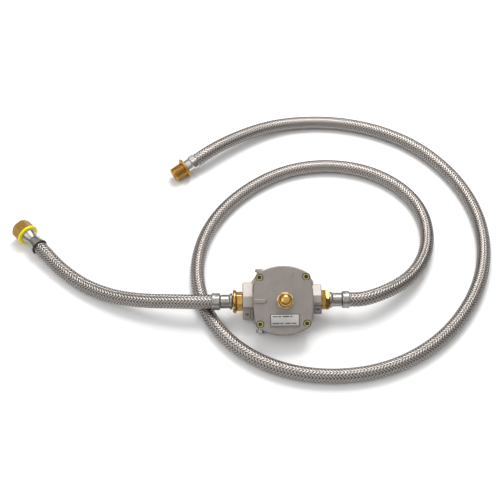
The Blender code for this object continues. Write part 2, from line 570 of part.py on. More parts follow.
def short_hose_end():
    """Female end: crimped ferrule, flared tail, yellow gas ring, swivel nut and its washer."""
    place = end_place(SHORT_ROUTE)
    lip, groove, flare = GAP, 15.4 * MM, 26.6 * MM
    ring_start, nut_start, mouth = 27.0 * MM, 30.5 * MM, 46.5 * MM
    add_object("short_end_ferrule", turned([
        (7.1 * MM, lip), (10.6 * MM, lip), (11.3 * MM, lip + 0.6 * MM), (11.3 * MM, lip + 1.6 * MM),
        (10.6 * MM, 6.0 * MM), (9.0 * MM, 10.5 * MM), (8.4 * MM, groove - 0.5 * MM),
        (8.0 * MM, groove - GAP), (7.1 * MM, groove - GAP)]), "nickel", None, place)
    seat = nut_start + 6.0 * MM
    add_object("short_end_tail", turned([
        (GAS_BORE, 1.0 * MM), (6.8 * MM, 1.0 * MM), (6.8 * MM, groove), (7.8 * MM, groove),
        (8.4 * MM, groove + 0.8 * MM), (9.0 * MM, groove + 5.0 * MM), (10.6 * MM, flare - 0.8 * MM),
        (10.6 * MM, flare), (8.6 * MM, flare), (8.6 * MM, nut_start + 3.4 * MM),
        (9.6 * MM, nut_start + 3.4 * MM),
        (9.6 * MM, seat - GAP), (GAS_BORE, seat - GAP)]), "nickel", None, place)
    add_object("gas_ring", turned([
        (9.0 * MM, ring_start), (14.9 * MM, ring_start), (15.5 * MM, ring_start + 0.6 * MM),
        (15.5 * MM, nut_start - GAP - 0.6 * MM), (14.9 * MM, nut_start - GAP), (9.0 * MM, nut_start - GAP)],
        28), "yellow_plastic", None, place)
    nut_bm = prism(hexagon(25.4 * MM, math.radians(52.5)), nut_start, mouth)
    rim = [e for e in nut_bm.edges if all(v.co.z > mouth - 1e-6 for v in e.verts)]
    bmesh.ops.bevel(nut_bm, geom=rim, offset=0.8 * MM, segments=1, profile=0.5, affect="EDGES", material=-1)
    nut = add_object("swivel_nut", nut_bm, "brass", None, place)
    reshape(nut, [turned([
        (0, nut_start - MM), (9.0 * MM, nut_start - MM), (9.0 * MM, nut_start + 3.1 * MM),
        (10.2 * MM, nut_start + 3.1 * MM), (10.2 * MM, mouth - 0.9 * MM), (11.2 * MM, mouth + 0.1 * MM),
        (11.2 * MM, mouth + MM), (0, mouth + MM)])], "DIFFERENCE")
    add_object("sealing_washer", tube(9.8 * MM, GAS_BORE, seat, seat + 1.6 * MM), "nylon", None, place)


def long_hose_end():
    """Male end: crimped ferrule, round flange and a pipe thread with a bore through it."""
    place = end_place(LONG_ROUTE)
    flange, thread, tip = 18.4 * MM, 22.2 * MM, 40.0 * MM
    add_object("long_end_ferrule", turned([
        (7.1 * MM, GAP), (10.0 * MM, GAP), (11.2 * MM, 1.2 * MM), (11.2 * MM, 8.2 * MM), (9.6 * MM, 9.8 * MM),
        (9.2 * MM, flange - GAP), (7.1 * MM, flange - GAP)]), "nickel", None, place)
    add_object("end_nipple", turned([
        (GAS_BORE, 1.0 * MM), (6.8 * MM, 1.0 * MM), (6.8 * MM, flange), (14.0 * MM, flange),
        (15.0 * MM, flange + 0.8 * MM), (15.0 * MM, thread - 1.6 * MM), (14.0 * MM, thread - 0.9 * MM),
        (12.4 * MM, thread), (10.1 * MM, thread + 0.6 * MM), (10.6 * MM, thread + 1.6 * MM),
        (10.5 * MM, tip - 0.8 * MM), (9.8 * MM, tip), (8.0 * MM, tip), (GAS_BORE, tip - 2.0 * MM)]),
        "brass", None, place)


def main():
    clear_scene()
    frame = bpy.data.objects.new("port_axis", None)
    bpy.context.scene.collection.objects.link(frame)
    frame.location = (0.0, 0.0, PORT_HEIGHT)
    frame.rotation_euler = (TILT, 0.0, 0.0)
    bpy.context.view_layer.update()
    regulator_body(frame)
    regulator_cover(frame)
    diaphragm_stack(frame)
    control_spring(frame)
    spring_tower(frame)
    valve_train(frame)
    cover_hardware(frame)
    port_fittings(frame)
    hose("long_hose", LONG_ROUTE, LONG_HOSE_POINTS)
    hose("short_hose", SHORT_ROUTE, SHORT_HOSE_POINTS)
    short_hose_end()
    long_hose_end()
    bpy.context.view_layer.update()


main()
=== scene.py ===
"""Looks of a low pressure gas regulator with two braided hoses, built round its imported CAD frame.

The regulator's own pieces are made square to its cover and then placed in the port frame, whose
local X runs along the two ports, local Z leaves the cover and local Z = 0 is the port axis.
Profiles and outlines are written in millimetres. Finished meshes are in metres, at the origin.
"""

import json
import math

import bmesh
import bpy
import numpy as np
from mathutils import Matrix, Vector


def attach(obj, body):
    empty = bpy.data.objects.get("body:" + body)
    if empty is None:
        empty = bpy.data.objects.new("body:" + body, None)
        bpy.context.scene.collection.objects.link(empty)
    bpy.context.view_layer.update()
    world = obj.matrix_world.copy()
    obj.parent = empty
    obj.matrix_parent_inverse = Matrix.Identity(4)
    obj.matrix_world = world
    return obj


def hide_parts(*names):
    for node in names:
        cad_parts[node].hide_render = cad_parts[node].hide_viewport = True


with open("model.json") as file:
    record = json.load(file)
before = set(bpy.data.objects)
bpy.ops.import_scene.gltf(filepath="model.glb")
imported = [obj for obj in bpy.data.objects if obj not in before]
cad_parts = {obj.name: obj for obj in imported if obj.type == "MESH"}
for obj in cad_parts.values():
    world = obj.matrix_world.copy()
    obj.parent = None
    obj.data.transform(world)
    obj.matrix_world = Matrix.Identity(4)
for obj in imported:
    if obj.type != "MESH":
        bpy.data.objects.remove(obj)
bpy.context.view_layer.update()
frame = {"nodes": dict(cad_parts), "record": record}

bl_info = {
    "name": "Gas regulator with braided hoses",
    "version": (1, 0, 0),
    "blender": (4, 5, 0),
    "location": "3D View > Sidebar > Regulator",
    "description": "Builds the visible pieces of a gas regulator with two braided hoses",
    "category": "Object",
}

MM = 0.001
JOINTS = {joint["name"]: joint for joint in frame["record"]["behaviour"]["joints"]}


def along(direction, start=(0, 0, 0)):
    """A frame whose local Z runs along a direction, placed at a start point."""
    turn = Vector(direction).normalized().to_track_quat("Z", "Y").to_matrix().to_4x4()
    return Matrix.Translation(start) @ turn


def port_frame():
    """The regulator's own frame, read from the joint that turns its spring cap."""
    up = Vector(JOINTS["cap_turn"]["axis"]).normalized()
    turn = Matrix((Vector((1, 0, 0)), up.cross((1, 0, 0)), up)).transposed().to_4x4()
    _, y, z = JOINTS["cap_turn"]["pos_m"]
    return Matrix.Translation((0, y, z)) @ turn


PORT_FRAME = port_frame()
STACK_X = JOINTS["cap_turn"]["pos_m"][0] / MM
STACK_FRAME = PORT_FRAME @ Matrix.Translation((STACK_X * MM, 0, 0))
INLET_AXIS = PORT_FRAME @ along((-1, 0, 0))
OUTLET_AXIS = PORT_FRAME @ along((1, 0, 0))

# Sizes of the castings and fittings in millimetres, as in the frame's solids
COVER_HALF_X, COVER_HALF_Y = 38.75, 44.5
SIDE_RADIUS, END_RADIUS, CORNER_ROUND = 135.0, 57.6, 4.0
SCREW_OFFSET, SCREW_HOLE = 29.8, 2.75
PORT_HOLE, PORT_DEPTH = 10.1, 14.0
TAP_HEIGHT = -2.5                   # of the two side tappings, from the port axis
BODY_TOP, COVER_BOTTOM, COVER_TOP = 10.0, 12.1, 29.0
BODY_LEFT, BODY_RIGHT = 41.0, 40.4
INLET_FACE, OUTLET_FACE = 51.9, 50.5
INLET_HOSE_START, OUTLET_HOSE_START = 92.4, 87.3
INLET_BOSS = [(-24.4, -8), (-24.4, 7), (-10.2, 11), (-8.2, 15), (5.9, 15), (24.4, 5), (24.4, -8),
              (12, -17), (-12, -17)]
OUTLET_BOSS = [(-18.6, -8), (-18.6, 7), (-5.4, 10.5), (-4.0, 14), (5.9, 14), (20.2, 5), (20.2, -8),
               (11, -15), (-11, -15)]
BORE = 6.0
HOSE_RADIUS = 9.5
SLEEVE_BORE, SLEEVE_NECK = HOSE_RADIUS + 0.1, 7.1
HOSE_TUCK = 4.0                     # how far a hose runs on inside its ferrules
PIPE_PITCH = 1.814                  # about 14 turns to the inch

CAMERA_PLACE = (-0.0412, -0.6611, 1.0175)
CAMERA_TILT, CAMERA_ROLL = math.radians(37.0), math.radians(-1.0)
WALL_LIGHT = 0.12                   # brightness of the dark walls below the ceiling

# Centrelines of the hoses in millimetres
LONG_ROUTE = [
    (87.3, 0, 29.5), (100, 0, 29.5), (116, 3.7, 29.1), (132, 10.8, 27.6), (151, 22.5, 24.6),
    (169, 37.5, 20.8), (184, 56, 16.9), (195.5, 76.5, 13.5), (203.5, 99, 11.0), (207, 122, 9.9),
    (201.5, 167, 9.8), (178, 206.5, 9.8), (141, 235, 9.8), (97, 249.5, 9.8), (50, 250.5, 9.8),
    (5, 238, 9.8), (-35, 214, 9.8), (-69, 182, 9.8), (-95, 143, 9.8), (-110, 99, 9.8),
    (-113, 52.5, 9.8), (-103, 6.8, 9.8), (-81, -34.5, 9.8), (-48, -67, 9.8), (-7, -89.5, 9.8),
    (38.5, -100.5, 9.8), (85, -101, 9.8), (131, -91.5, 9.8), (173, -72, 9.8), (210.5, -43.5, 9.8),
    (241, -8, 9.8), (264.5, 32.5, 9.8), (279, 77, 9.8), (284, 123.5, 9.8), (279, 169.5, 9.8),
    (264.5, 213.5, 9.8), (241, 253.5, 9.8), (210, 288, 9.8), (171, 315, 9.8), (127, 333, 9.8),
    (81, 342, 9.8), (36.5, 341.5, 10.6), (-5, 332, 13.6), (-43.5, 313, 18.0), (-80, 288.5, 21.8),
    (-107.8, 266.7, 22.0), (-119.2, 259.0, 19.3),
]
SHORT_ROUTE = [
    (-92.4, 0, 29.5), (-107, 0, 29.5), (-123, 0.8, 29.3), (-138, 2.3, 28.2), (-153, 4.1, 26.4),
    (-168, 6.3, 24.1), (-183, 9.2, 21.6), (-197.5, 12.8, 19.1), (-212, 17.2, 16.7), (-226, 22.5, 14.5),
    (-239.5, 28.6, 12.7), (-253, 35.7, 11.2), (-266, 43.6, 10.2), (-278, 52.3, 9.8), (-290, 62, 9.8),
    (-301.5, 72.4, 10.3), (-312.3, 83.4, 11.4), (-323.4, 95.7, 13.4), (-332.8, 106.0, 14.2),
]


# Settings ---------------------------------------------------------------------------------------

def colour_setting(name, description, default):
    return bpy.props.FloatVectorProperty(name=name, description=description, default=default, size=3,
                                         min=0, max=1, subtype="COLOR")


class HoseSettings(bpy.types.PropertyGroup):
    """The two braided hoses."""
    carriers: bpy.props.IntProperty(
        name="Carriers", description="Bands of wire that run round the hose each way",
        default=14, min=6, max=24)
    turn_length: bpy.props.FloatProperty(
        name="Turn length", description="Length of hose in which a band goes once round",
        default=0.060, min=0.02, max=0.12, unit="LENGTH")
    relief: bpy.props.FloatProperty(
        name="Relief", description="Height of the bands over the gaps between them",
        default=0.00045, min=0.0, max=0.001, unit="LENGTH")
    wire_colour: colour_setting("Wire colour", "Colour of the stainless steel wire", (0.46, 0.42, 0.39))
    gap_colour: colour_setting("Gap colour", "Colour of the rubber seen between the bands",
                               (0.04, 0.035, 0.031))


class RegulatorSettings(bpy.types.PropertyGroup):
    """The castings and metal fittings."""
    edge_round: bpy.props.FloatProperty(
        name="Edge round", description="Radius of the castings' edges",
        default=0.0012, min=0.0002, max=0.002, unit="LENGTH")
    cast_colour: colour_setting("Casting colour", "Colour of the cast aluminium", (0.37, 0.335, 0.31))
    brass_colour: colour_setting("Brass colour", "Colour of the machined brass", (0.56, 0.33, 0.09))
    plated_colour: colour_setting("Plated colour", "Colour of the plated steel fittings",
                                  (0.40, 0.38, 0.36))
    ring_colour: colour_setting("Gas ring colour", "Colour of the plastic ring that marks a gas connector",
                                (0.90, 0.78, 0.02))


class StageSettings(bpy.types.PropertyGroup):
    """Floor, light and camera."""
    floor_colour: colour_setting("Floor colour", "Colour of the plain floor", (0.93, 0.93, 0.93))
    lens: bpy.props.FloatProperty(
        name="Lens", description="Focal length of the camera in millimetres",
        default=65.52, min=20, max=200)
    key_power: bpy.props.FloatProperty(
        name="Key light", description="Power of the overhead soft light",
        default=14.0, min=0, max=200, subtype="POWER")
    sky: bpy.props.FloatProperty(
        name="Sky", description="Brightness of the white ceiling, which fades to dark walls",
        default=1.0, min=0, max=4)


# Nodes and materials ----------------------------------------------------------------------------

def add_node(tree, kind, inputs=(), **settings):
    """Adds a shader node with its settings. Inputs map a socket's name or number to a value or a link."""
    node = tree.nodes.new(kind)
    for key, value in settings.items():
        setattr(node, key, value)
    for key, value in dict(inputs).items():
        if isinstance(value, bpy.types.NodeSocket):
            tree.links.new(value, node.inputs[key])
        else:
            node.inputs[key].default_value = value
    return node


def calc(tree, operation, *values, clamp=False):
    """A Math node's output."""
    return add_node(tree, "ShaderNodeMath", enumerate(values), operation=operation,
                    use_clamp=clamp).outputs[0]


def mixed(tree, factor, dark, light):
    """Colour between two colours or links, by a factor link."""
    dark, light = ((*c, 1.0) if isinstance(c, tuple) else c for c in (dark, light))
    return add_node(tree, "ShaderNodeMix", {0: factor, 6: dark, 7: light}, data_type="RGBA").outputs[2]


def shade(colour, share):
    return tuple(min(c * share, 1.0) for c in colour)


def new_material(name, metallic, roughness, **inputs):
    """A material with its Principled shader, and the tree and shader to build on."""
    material = bpy.data.materials.new(name)
    material.use_nodes = True
    shader = material.node_tree.nodes["Principled BSDF"]
    shader.inputs["Metallic"].default_value = metallic
    shader.inputs["Roughness"].default_value = roughness
    for key, value in inputs.items():
        shader.inputs[key.replace("_", " ")].default_value = value
    return material, material.node_tree, shader


def noise(tree, size, detail=3.0, where=None, roughness=0.6):
    """Noise whose blobs are about one size across, in metres."""
    inputs = {"Scale": 1.0 / size, "Detail": detail, "Roughness": roughness}
    inputs["Vector"] = where or add_node(tree, "ShaderNodeTexCoord").outputs["Object"]
    return add_node(tree, "ShaderNodeTexNoise", inputs).outputs["Fac"]


def ranged(tree, value, low, high, to_low=0.0, to_high=1.0):
    inputs = {0: value, 1: low, 2: high, 3: to_low, 4: to_high}
    return add_node(tree, "ShaderNodeMapRange", inputs).outputs[0]


def bumped(tree, shader, height, distance, strength=1.0):
    bump = add_node(tree, "ShaderNodeBump", {"Height": height, "Distance": distance, "Strength": strength})
    tree.links.new(bump.outputs[0], shader.inputs["Normal"])


def link(tree, output, shader, name):
    tree.links.new(output, shader.inputs[name])


def cast_material(name, colour):
    """Sand cast aluminium: a matt warm grey with fine grain, broad cloudy tone and small dark stains."""
    material, tree, shader = new_material(name, 1.0, 0.5)
    grain = noise(tree, 0.45 * MM, 4.0)
    cloud = noise(tree, 16 * MM, 2.0)
    tone = mixed(tree, ranged(tree, cloud, 0.3, 0.7), shade(colour, 0.9), shade(colour, 1.1))
    speckled = mixed(tree, ranged(tree, grain, 0.35, 0.65), shade(colour, 0.78), tone)
    stains = ranged(tree, noise(tree, 7 * MM, 5.0, roughness=0.75), 0.60, 0.72, 0.0, 0.6)
    link(tree, mixed(tree, stains, speckled, shade(colour, 0.55)), shader, "Base Color")
    link(tree, ranged(tree, grain, 0.3, 0.7, 0.5, 0.68), shader, "Roughness")
    height = calc(tree, "ADD", grain, calc(tree, "MULTIPLY", noise(tree, 3 * MM), 0.8))
    bumped(tree, shader, height, 0.12 * MM, 0.7)
    return material


def turned_metal(name, colour, roughness, axis, tarnish=0.85, rings=0.25 * MM, painted_edge_strength=0.8,
                 dark_below=None):
    """Metal turned on a lathe about an axis frame: fine tool rings across it, a light tarnish in patches,
    a painted highlight on sharp edges and painted shade in the corners. Below a height along the axis it may
    be darker with painted shade, like the floor of a socket."""
    material, tree, shader = new_material(name, 1.0, roughness)
    place = add_node(tree, "ShaderNodeTexCoord").outputs["Object"]
    direction = axis.to_3x3() @ Vector((0, 0, 1))
    reach = add_node(tree, "ShaderNodeVectorMath", {0: place, 1: direction},
                     operation="DOT_PRODUCT").outputs["Value"]
    tool_marks = {"W": calc(tree, "DIVIDE", reach, rings), "Scale": 1.0, "Detail": 2.0}
    lines = add_node(tree, "ShaderNodeTexNoise", tool_marks, noise_dimensions="1D").outputs["Fac"]
    patches = noise(tree, 5 * MM, 4.0)
    tone = mixed(tree, ranged(tree, patches, 0.35, 0.7), shade(colour, tarnish), colour)
    ringed = mixed(tree, ranged(tree, lines, 0.3, 0.7, 0.0, 0.5), tone, shade(colour, 1.12))
    edge = add_node(tree, "ShaderNodeNewGeometry").outputs["Pointiness"]
    # Painted highlight: sharp edges are lightened to stand in for a glint of light on them.
    with_painted_highlight = mixed(tree, ranged(tree, edge, 0.53, 0.6, 0.0, painted_edge_strength), ringed, shade(colour, 1.9))
    # Painted shade: hollow corners are darkened to stand in for the shade that falls in them.
    with_painted_shade = mixed(tree, ranged(tree, edge, 0.40, 0.49, 1.0 - painted_edge_strength, 1.0), shade(colour, 0.22), with_painted_highlight)
    if dark_below is not None:
        # Painted shade of a socket's floor: the metal is darkened below the given height.
        level = axis.translation.dot(direction) + dark_below
        with_painted_shade = mixed(tree, ranged(tree, reach, level - 0.4 * MM, level), shade(colour, 0.12), with_painted_shade)
    link(tree, with_painted_shade, shader, "Base Color")
    link(tree, ranged(tree, patches, 0.3, 0.7, roughness * 0.8, roughness * 1.5), shader, "Roughness")
    bumped(tree, shader, lines, 0.02 * MM, 0.6)
    return material


def plastic_material(name, colour, roughness):
    """Moulded plastic or rubber: one colour with a faint mottle and a soft grain."""
    material, tree, shader = new_material(name, 0.0, roughness)
    mottle = noise(tree, 4 * MM)
    link(tree, mixed(tree, ranged(tree, mottle, 0.3, 0.7), shade(colour, 0.88), shade(colour, 1.05)),
         shader, "Base Color")
    fine = noise(tree, 0.6 * MM)
    link(tree, ranged(tree, fine, 0.3, 0.7, roughness * 0.85, roughness * 1.2), shader, "Roughness")
    bumped(tree, shader, fine, 0.03 * MM, 0.5)
    return material


def braid_height(around, along_hose):
    """Height of the braid, 0 in a gap and 1 on a band, from bands counted round and along the hose."""
    first, second = around + along_hose, around - along_hose
    over = np.clip(0.5 + 1.2 * np.cos(math.pi * around), 0.0, 1.0)
    crown = [np.abs(np.sin(math.pi * count)) ** 0.7 for count in (first, second)]
    return np.maximum(crown[0] * over, crown[1] * (1.0 - over))


def braid_material(name, settings):
    """Herringbone braid of stainless wire: bright bands of fine wires that dive under each other, with dark
    gaps. Real bands are finer and would blur away at this size, so these are drawn coarse enough to show."""
    material, tree, shader = new_material(name, 1.0, 0.3)
    uv = add_node(tree, "ShaderNodeSeparateXYZ", {0: add_node(tree, "ShaderNodeUVMap").outputs[0]})
    around = calc(tree, "MULTIPLY", uv.outputs[0], float(settings.carriers))
    run = calc(tree, "MULTIPLY", uv.outputs[1], settings.carriers / settings.turn_length)
    ways = [calc(tree, "ADD", around, run), calc(tree, "SUBTRACT", around, run)]
    wave = calc(tree, "COSINE", calc(tree, "MULTIPLY", around, math.pi))
    over = calc(tree, "ADD", calc(tree, "MULTIPLY", wave, 1.2), 0.5, clamp=True)
    shares = [over, calc(tree, "SUBTRACT", 1.0, over)]
    bands, wires = [], []
    for way, share in zip(ways, shares):
        ridge = calc(tree, "ABSOLUTE", calc(tree, "SINE", calc(tree, "MULTIPLY", way, math.pi)))
        bands.append(calc(tree, "MULTIPLY", calc(tree, "POWER", ridge, 0.7), share))
        wire = calc(tree, "ABSOLUTE", calc(tree, "SINE", calc(tree, "MULTIPLY", way, 6 * math.pi)))
        wires.append(calc(tree, "MULTIPLY", wire, share))
    height = calc(tree, "MAXIMUM", *bands)
    wire = calc(tree, "MAXIMUM", *wires)
    dust = noise(tree, 1.5 * MM)
    steel = mixed(tree, ranged(tree, dust, 0.3, 0.7), shade(settings.wire_colour, 0.85),
                  shade(settings.wire_colour, 1.15))
    # Painted shade between the fine wires of a band: the steel is darkened where the wire pattern is low.
    lit = mixed(tree, ranged(tree, wire, 0.0, 0.8), shade(settings.wire_colour, 0.55), steel)
    colour = mixed(tree, ranged(tree, height, 0.3, 0.75), tuple(settings.gap_colour), lit)
    link(tree, colour, shader, "Base Color")
    link(tree, ranged(tree, height, 0.2, 0.7, 0.75, 0.3), shader, "Roughness")
    bumped(tree, shader, calc(tree, "ADD", height, calc(tree, "MULTIPLY", wire, 0.2)), 0.3 * MM)
    return material


# Shapes -----------------------------------------------------------------------------------------

def rounded(profile, radius, steps=3):
    """A closed outline of (x, y) points with its corners rounded, but those on the turning axis kept."""
    result = []
    for before, corner, after in zip(profile[-1:] + profile[:-1], profile, profile[1:] + profile[:1]):
        here = Vector(corner)
        back, ahead = Vector(before) - here, Vector(after) - here
        straight = back.length < 1e-9 or ahead.length < 1e-9 or back.angle(ahead) > math.radians(165)
        if corner[0] <= 0 or straight:
            result.append(tuple(corner))
            continue
        reach = min(radius, 0.45 * back.length, 0.45 * ahead.length)
        start, end = here + back.normalized() * reach, here + ahead.normalized() * reach
        for k in range(steps + 1):
            share = k / steps
            point = start * (1 - share) ** 2 + here * 2 * share * (1 - share) + end * share ** 2
            result.append(tuple(point))
    return result


def lathe(profile, fillet, shape=None, steps=96):
    """A solid turned about local Z from a closed outline of (radius, height) points in mm.
    shape(radius, angle, height) may then move each point in or out."""
    outline = rounded(profile, fillet) if fillet else profile
    bm = bmesh.new()
    points = [bm.verts.new((radius * MM, 0.0, height * MM)) for radius, height in outline]
    edges = [bm.edges.new((a, b)) for a, b in zip(points, points[1:] + points[:1])
             if max(a.co.x, b.co.x) > 0]
    bmesh.ops.spin(bm, geom=points + edges, axis=(0, 0, 1), cent=(0, 0, 0), steps=steps,
                   angle=math.tau, use_merge=True)
    bmesh.ops.remove_doubles(bm, verts=bm.verts, dist=1e-7)
    if shape:
        for vert in bm.verts:
            radius = math.hypot(vert.co.x, vert.co.y)
            if radius > 1e-6:
                wanted = shape(radius / MM, math.atan2(vert.co.y, vert.co.x), vert.co.z / MM) * MM
                vert.co.x, vert.co.y = vert.co.x * wanted / radius, vert.co.y * wanted / radius
    return bm


def ring(inner, outer, low, high, steps=72, fillet=0.2):
    """A flat ring round local Z, from one height to another."""
    return lathe([(inner, low), (outer, low), (outer, high), (inner, high)], fillet, steps=steps)


def rod(radius, low, high, steps):
    """A sharp edged round bar along local Z, for cutting bores."""
    return ring(0, radius, low, high, steps, 0)


def stretch(radius, low, high, step):
    """Points of a straight outline run along local Z, close enough together to be shaped."""
    count = max(int(abs(high - low) / step), 1) + 1
    return [(radius, height) for height in np.linspace(low, high, count)]


def hexed(flats, turn=0.0, least=0.0, low=-1e3, high=1e3):
    """A shape that cuts a turned solid to a hexagon between two heights, outside a least radius."""
    def shape(radius, angle, height):
        if radius < least or not low <= height <= high:
            return radius
        off = (angle - turn) % (math.pi / 3) - math.pi / 6
        return min(radius, flats / 2 / math.cos(off))
    return shape


def crimped(lobes, depth, low, high, least):
    """A shape that presses a sleeve in at even places round it, between two heights."""
    def shape(radius, angle, height):
        if radius < least or not low < height < high:
            return radius
        window = math.sin(math.pi * (height - low) / (high - low)) ** 0.5
        return radius - depth * window * (0.5 + 0.5 * math.cos(lobes * angle)) ** 1.5
    return shape


def threaded(pitch, depth, low, high, least, most=1e3, inward=False):
    """A shape that cuts a screw thread between two heights."""
    def shape(radius, angle, height):
        if not least < radius < most or not low < height < high:
            return radius
        phase = (height / pitch - angle / math.tau) % 1.0
        fade = min(1.0, (height - low) / pitch, (high - height) / pitch)
        cut = depth * fade * (1.0 - min(1.0, 1.25 * (1.0 - abs(2.0 * phase - 1.0))))
        return radius + cut if inward else radius - cut
    return shape


def prism(outline, low, high):
    """A straight prism of a flat outline of (x, y) points, between two heights, in mm."""
    bm = bmesh.new()
    face = bm.faces.new([bm.verts.new((x * MM, y * MM, low * MM)) for x, y in outline])
    extruded = bmesh.ops.extrude_face_region(bm, geom=[face])["geom"]
    tops = [item for item in extruded if isinstance(item, bmesh.types.BMVert)]
    bmesh.ops.translate(bm, verts=tops, vec=(0, 0, (high - low) * MM))
    bmesh.ops.recalc_face_normals(bm, faces=bm.faces)
    return bm


def block(low, high, corner=0.0):
    """A box between two opposite corners in mm, its upright edges rounded."""
    outline = [(low[0], low[1]), (high[0], low[1]), (high[0], high[1]), (low[0], high[1])]
    bm = prism(outline, low[2], high[2])
    if corner:
        upright = [e for e in bm.edges if abs(e.verts[0].co.z - e.verts[1].co.z) > 1e-6]
        soften(bm, corner, upright)
    return bm


def soften(bm, offset, edges=None, segments=3, least=math.radians(25)):
    """Rounds the given edges, or all that turn sharply, by an offset in mm."""
    if edges is None:
        edges = [e for e in bm.edges if len(e.link_faces) == 2 and e.calc_face_angle(0.0) > least]
    bmesh.ops.bevel(bm, geom=edges, offset=offset * MM, segments=segments, profile=0.5, affect="EDGES",
                    clamp_overlap=True, material=-1)
    return bm


def edges_at(bm, height):
    return [e for e in bm.edges if all(abs(v.co.z - height * MM) < 1e-6 for v in e.verts)]


def moved(bm, place):
    bmesh.ops.transform(bm, matrix=place, verts=bm.verts)
    return bm


def in_mm(x, y, z):
    return Matrix.Translation(Vector((x, y, z)) * MM)


def temporary(bm):
    bmesh.ops.recalc_face_normals(bm, faces=bm.faces)
    mesh = bpy.data.meshes.new("tool")
    bm.to_mesh(mesh)
    bm.free()
    obj = bpy.data.objects.new("tool", mesh)
    bpy.context.scene.collection.objects.link(obj)
    return obj


def combined(base, tools, operation):
    """Exact Boolean of a shape with several tools, as a new shape. The tools are used up."""
    main = temporary(base)
    helpers = [temporary(tool) for tool in tools]
    for helper in helpers:
        modifier = main.modifiers.new("tool", "BOOLEAN")
        modifier.operation, modifier.solver, modifier.object = operation, "EXACT", helper
    bpy.context.view_layer.update()
    mesh = bpy.data.meshes.new_from_object(main.evaluated_get(bpy.context.evaluated_depsgraph_get()))
    bm = bmesh.new()
    bm.from_mesh(mesh)
    bpy.data.meshes.remove(mesh)
    for obj in [main] + helpers:
        data = obj.data
        bpy.data.objects.remove(obj, do_unlink=True)
        bpy.data.meshes.remove(data)
    return bm


def add_piece(name, bm, place, material, replaces=(), body="regulator", sharp=32.0, weighted=False):
    """Puts a finished shape into the scene as a piece that rides on a body. Weighted normals keep its
    large flat faces evenly shaded up to their rounded edges."""
    moved(bm, place)
    bmesh.ops.recalc_face_normals(bm, faces=bm.faces)
    mesh = bpy.data.meshes.new(name)
    bm.to_mesh(mesh)
    bm.free()
    mesh.shade_smooth()
    mesh.set_sharp_from_angle(angle=math.radians(sharp))
    mesh.materials.append(material)
    piece = bpy.data.objects.new(name, mesh)
    bpy.context.scene.collection.objects.link(piece)
    if weighted:
        modifier = piece.modifiers.new("weighted", "WEIGHTED_NORMAL")
        modifier.keep_sharp, modifier.weight = True, 100
        bpy.context.view_layer.update()
        depsgraph = bpy.context.evaluated_depsgraph_get()
        piece.data = bpy.data.meshes.new_from_object(piece.evaluated_get(depsgraph))
        piece.modifiers.clear()
        bpy.data.meshes.remove(mesh)
        piece.data.name = name
    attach(piece, body)
    if replaces:
        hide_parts(*replaces)
    return piece


# Castings ---------------------------------------------------------------------------------------

def cover_outline():
    """The cover's rounded square: two strongly bowed ends, two nearly straight sides. A corner's centre is
    where both arcs, less the corner's own radius, meet."""
    corner_steps, arc_steps, rounds_to_settle = 8, 14, 40
    end_centre, side_centre = COVER_HALF_Y - END_RADIUS, COVER_HALF_X - SIDE_RADIUS
    x = y = SCREW_OFFSET
    for _ in range(rounds_to_settle):
        x = side_centre + math.sqrt((SIDE_RADIUS - CORNER_ROUND) ** 2 - y * y)
        y = end_centre + math.sqrt((END_RADIUS - CORNER_ROUND) ** 2 - x * x)
    side_angle = math.atan2(y, x - side_centre)
    end_angle = math.atan2(y - end_centre, x)
    quarter = [(side_centre + SIDE_RADIUS * math.cos(side_angle * k / arc_steps),
                SIDE_RADIUS * math.sin(side_angle * k / arc_steps)) for k in range(arc_steps + 1)]
    for k in range(1, corner_steps):
        angle = side_angle + (end_angle - side_angle) * k / corner_steps
        quarter.append((x + CORNER_ROUND * math.cos(angle), y + CORNER_ROUND * math.sin(angle)))
    for k in range(arc_steps + 1):
        angle = end_angle + (math.pi / 2 - end_angle) * k / arc_steps
        quarter.append((END_RADIUS * math.cos(angle), end_centre + END_RADIUS * math.sin(angle)))
    half = quarter + [(-px, py) for px, py in reversed(quarter[:-1])]
    return half + [(px, -py) for px, py in reversed(half[1:-1])]


def screw_places():
    return [(sx * SCREW_OFFSET, sy * SCREW_OFFSET) for sy in (1, -1) for sx in (-1, 1)]


def cover_shape(edge):
    bm = prism(cover_outline(), COVER_BOTTOM, COVER_TOP)
    soften(bm, 1.3 * edge, edges_at(bm, COVER_TOP), 4)
    soften(bm, 0.4, edges_at(bm, COVER_BOTTOM), 2)
    rib = block((-37.6, -3.0, COVER_TOP - 2), (-21.5, 2.6, COVER_TOP + 1.6), 1.0)
    soften(rib, 0.9, edges_at(rib, COVER_TOP + 1.6), 4)
    border = block((-17.8, -33.6, COVER_TOP - 1), (21.2, -16.0, COVER_TOP + 0.9), 1.8)
    soften(border, 0.3, edges_at(border, COVER_TOP + 0.9), 2)
    bm = combined(bm, [rib, border], "UNION")
    roof, tower = 24.0, 16.6
    chamber = lathe([(0, COVER_BOTTOM - 1), (25, COVER_BOTTOM - 1), (25, roof), (11, roof), (11, tower),
                     (8, tower), (8, COVER_TOP + 1), (0, COVER_TOP + 1)], 0, steps=64)
    pocket = block((-16.9, -32.7, COVER_TOP + 0.2), (20.3, -16.9, COVER_TOP + 2), 1.2)
    cuts = [moved(chamber, in_mm(STACK_X, 0, 0)), pocket]
    for x, y in screw_places():
        seat = lathe([(0, COVER_BOTTOM - 1), (SCREW_HOLE, COVER_BOTTOM - 1), (SCREW_HOLE, 24), (4.7, 24),
                      (4.7, COVER_TOP - 0.5), (5.4, COVER_TOP + 0.2), (5.4, COVER_TOP + 1),
                      (0, COVER_TOP + 1)], 0, steps=48)
        cuts.append(moved(seat, in_mm(x, y, 0)))
    return combined(bm, cuts, "DIFFERENCE")


def hull_floor(y):
    """Height of the sloping underside, square to the front face that the regulator lies on."""
    up = PORT_FRAME.to_3x3() @ Vector((0, 0, 1))
    return -PORT_FRAME.translation.z / MM / up.z + abs(y) * math.sqrt(1 - up.z ** 2) / up.z


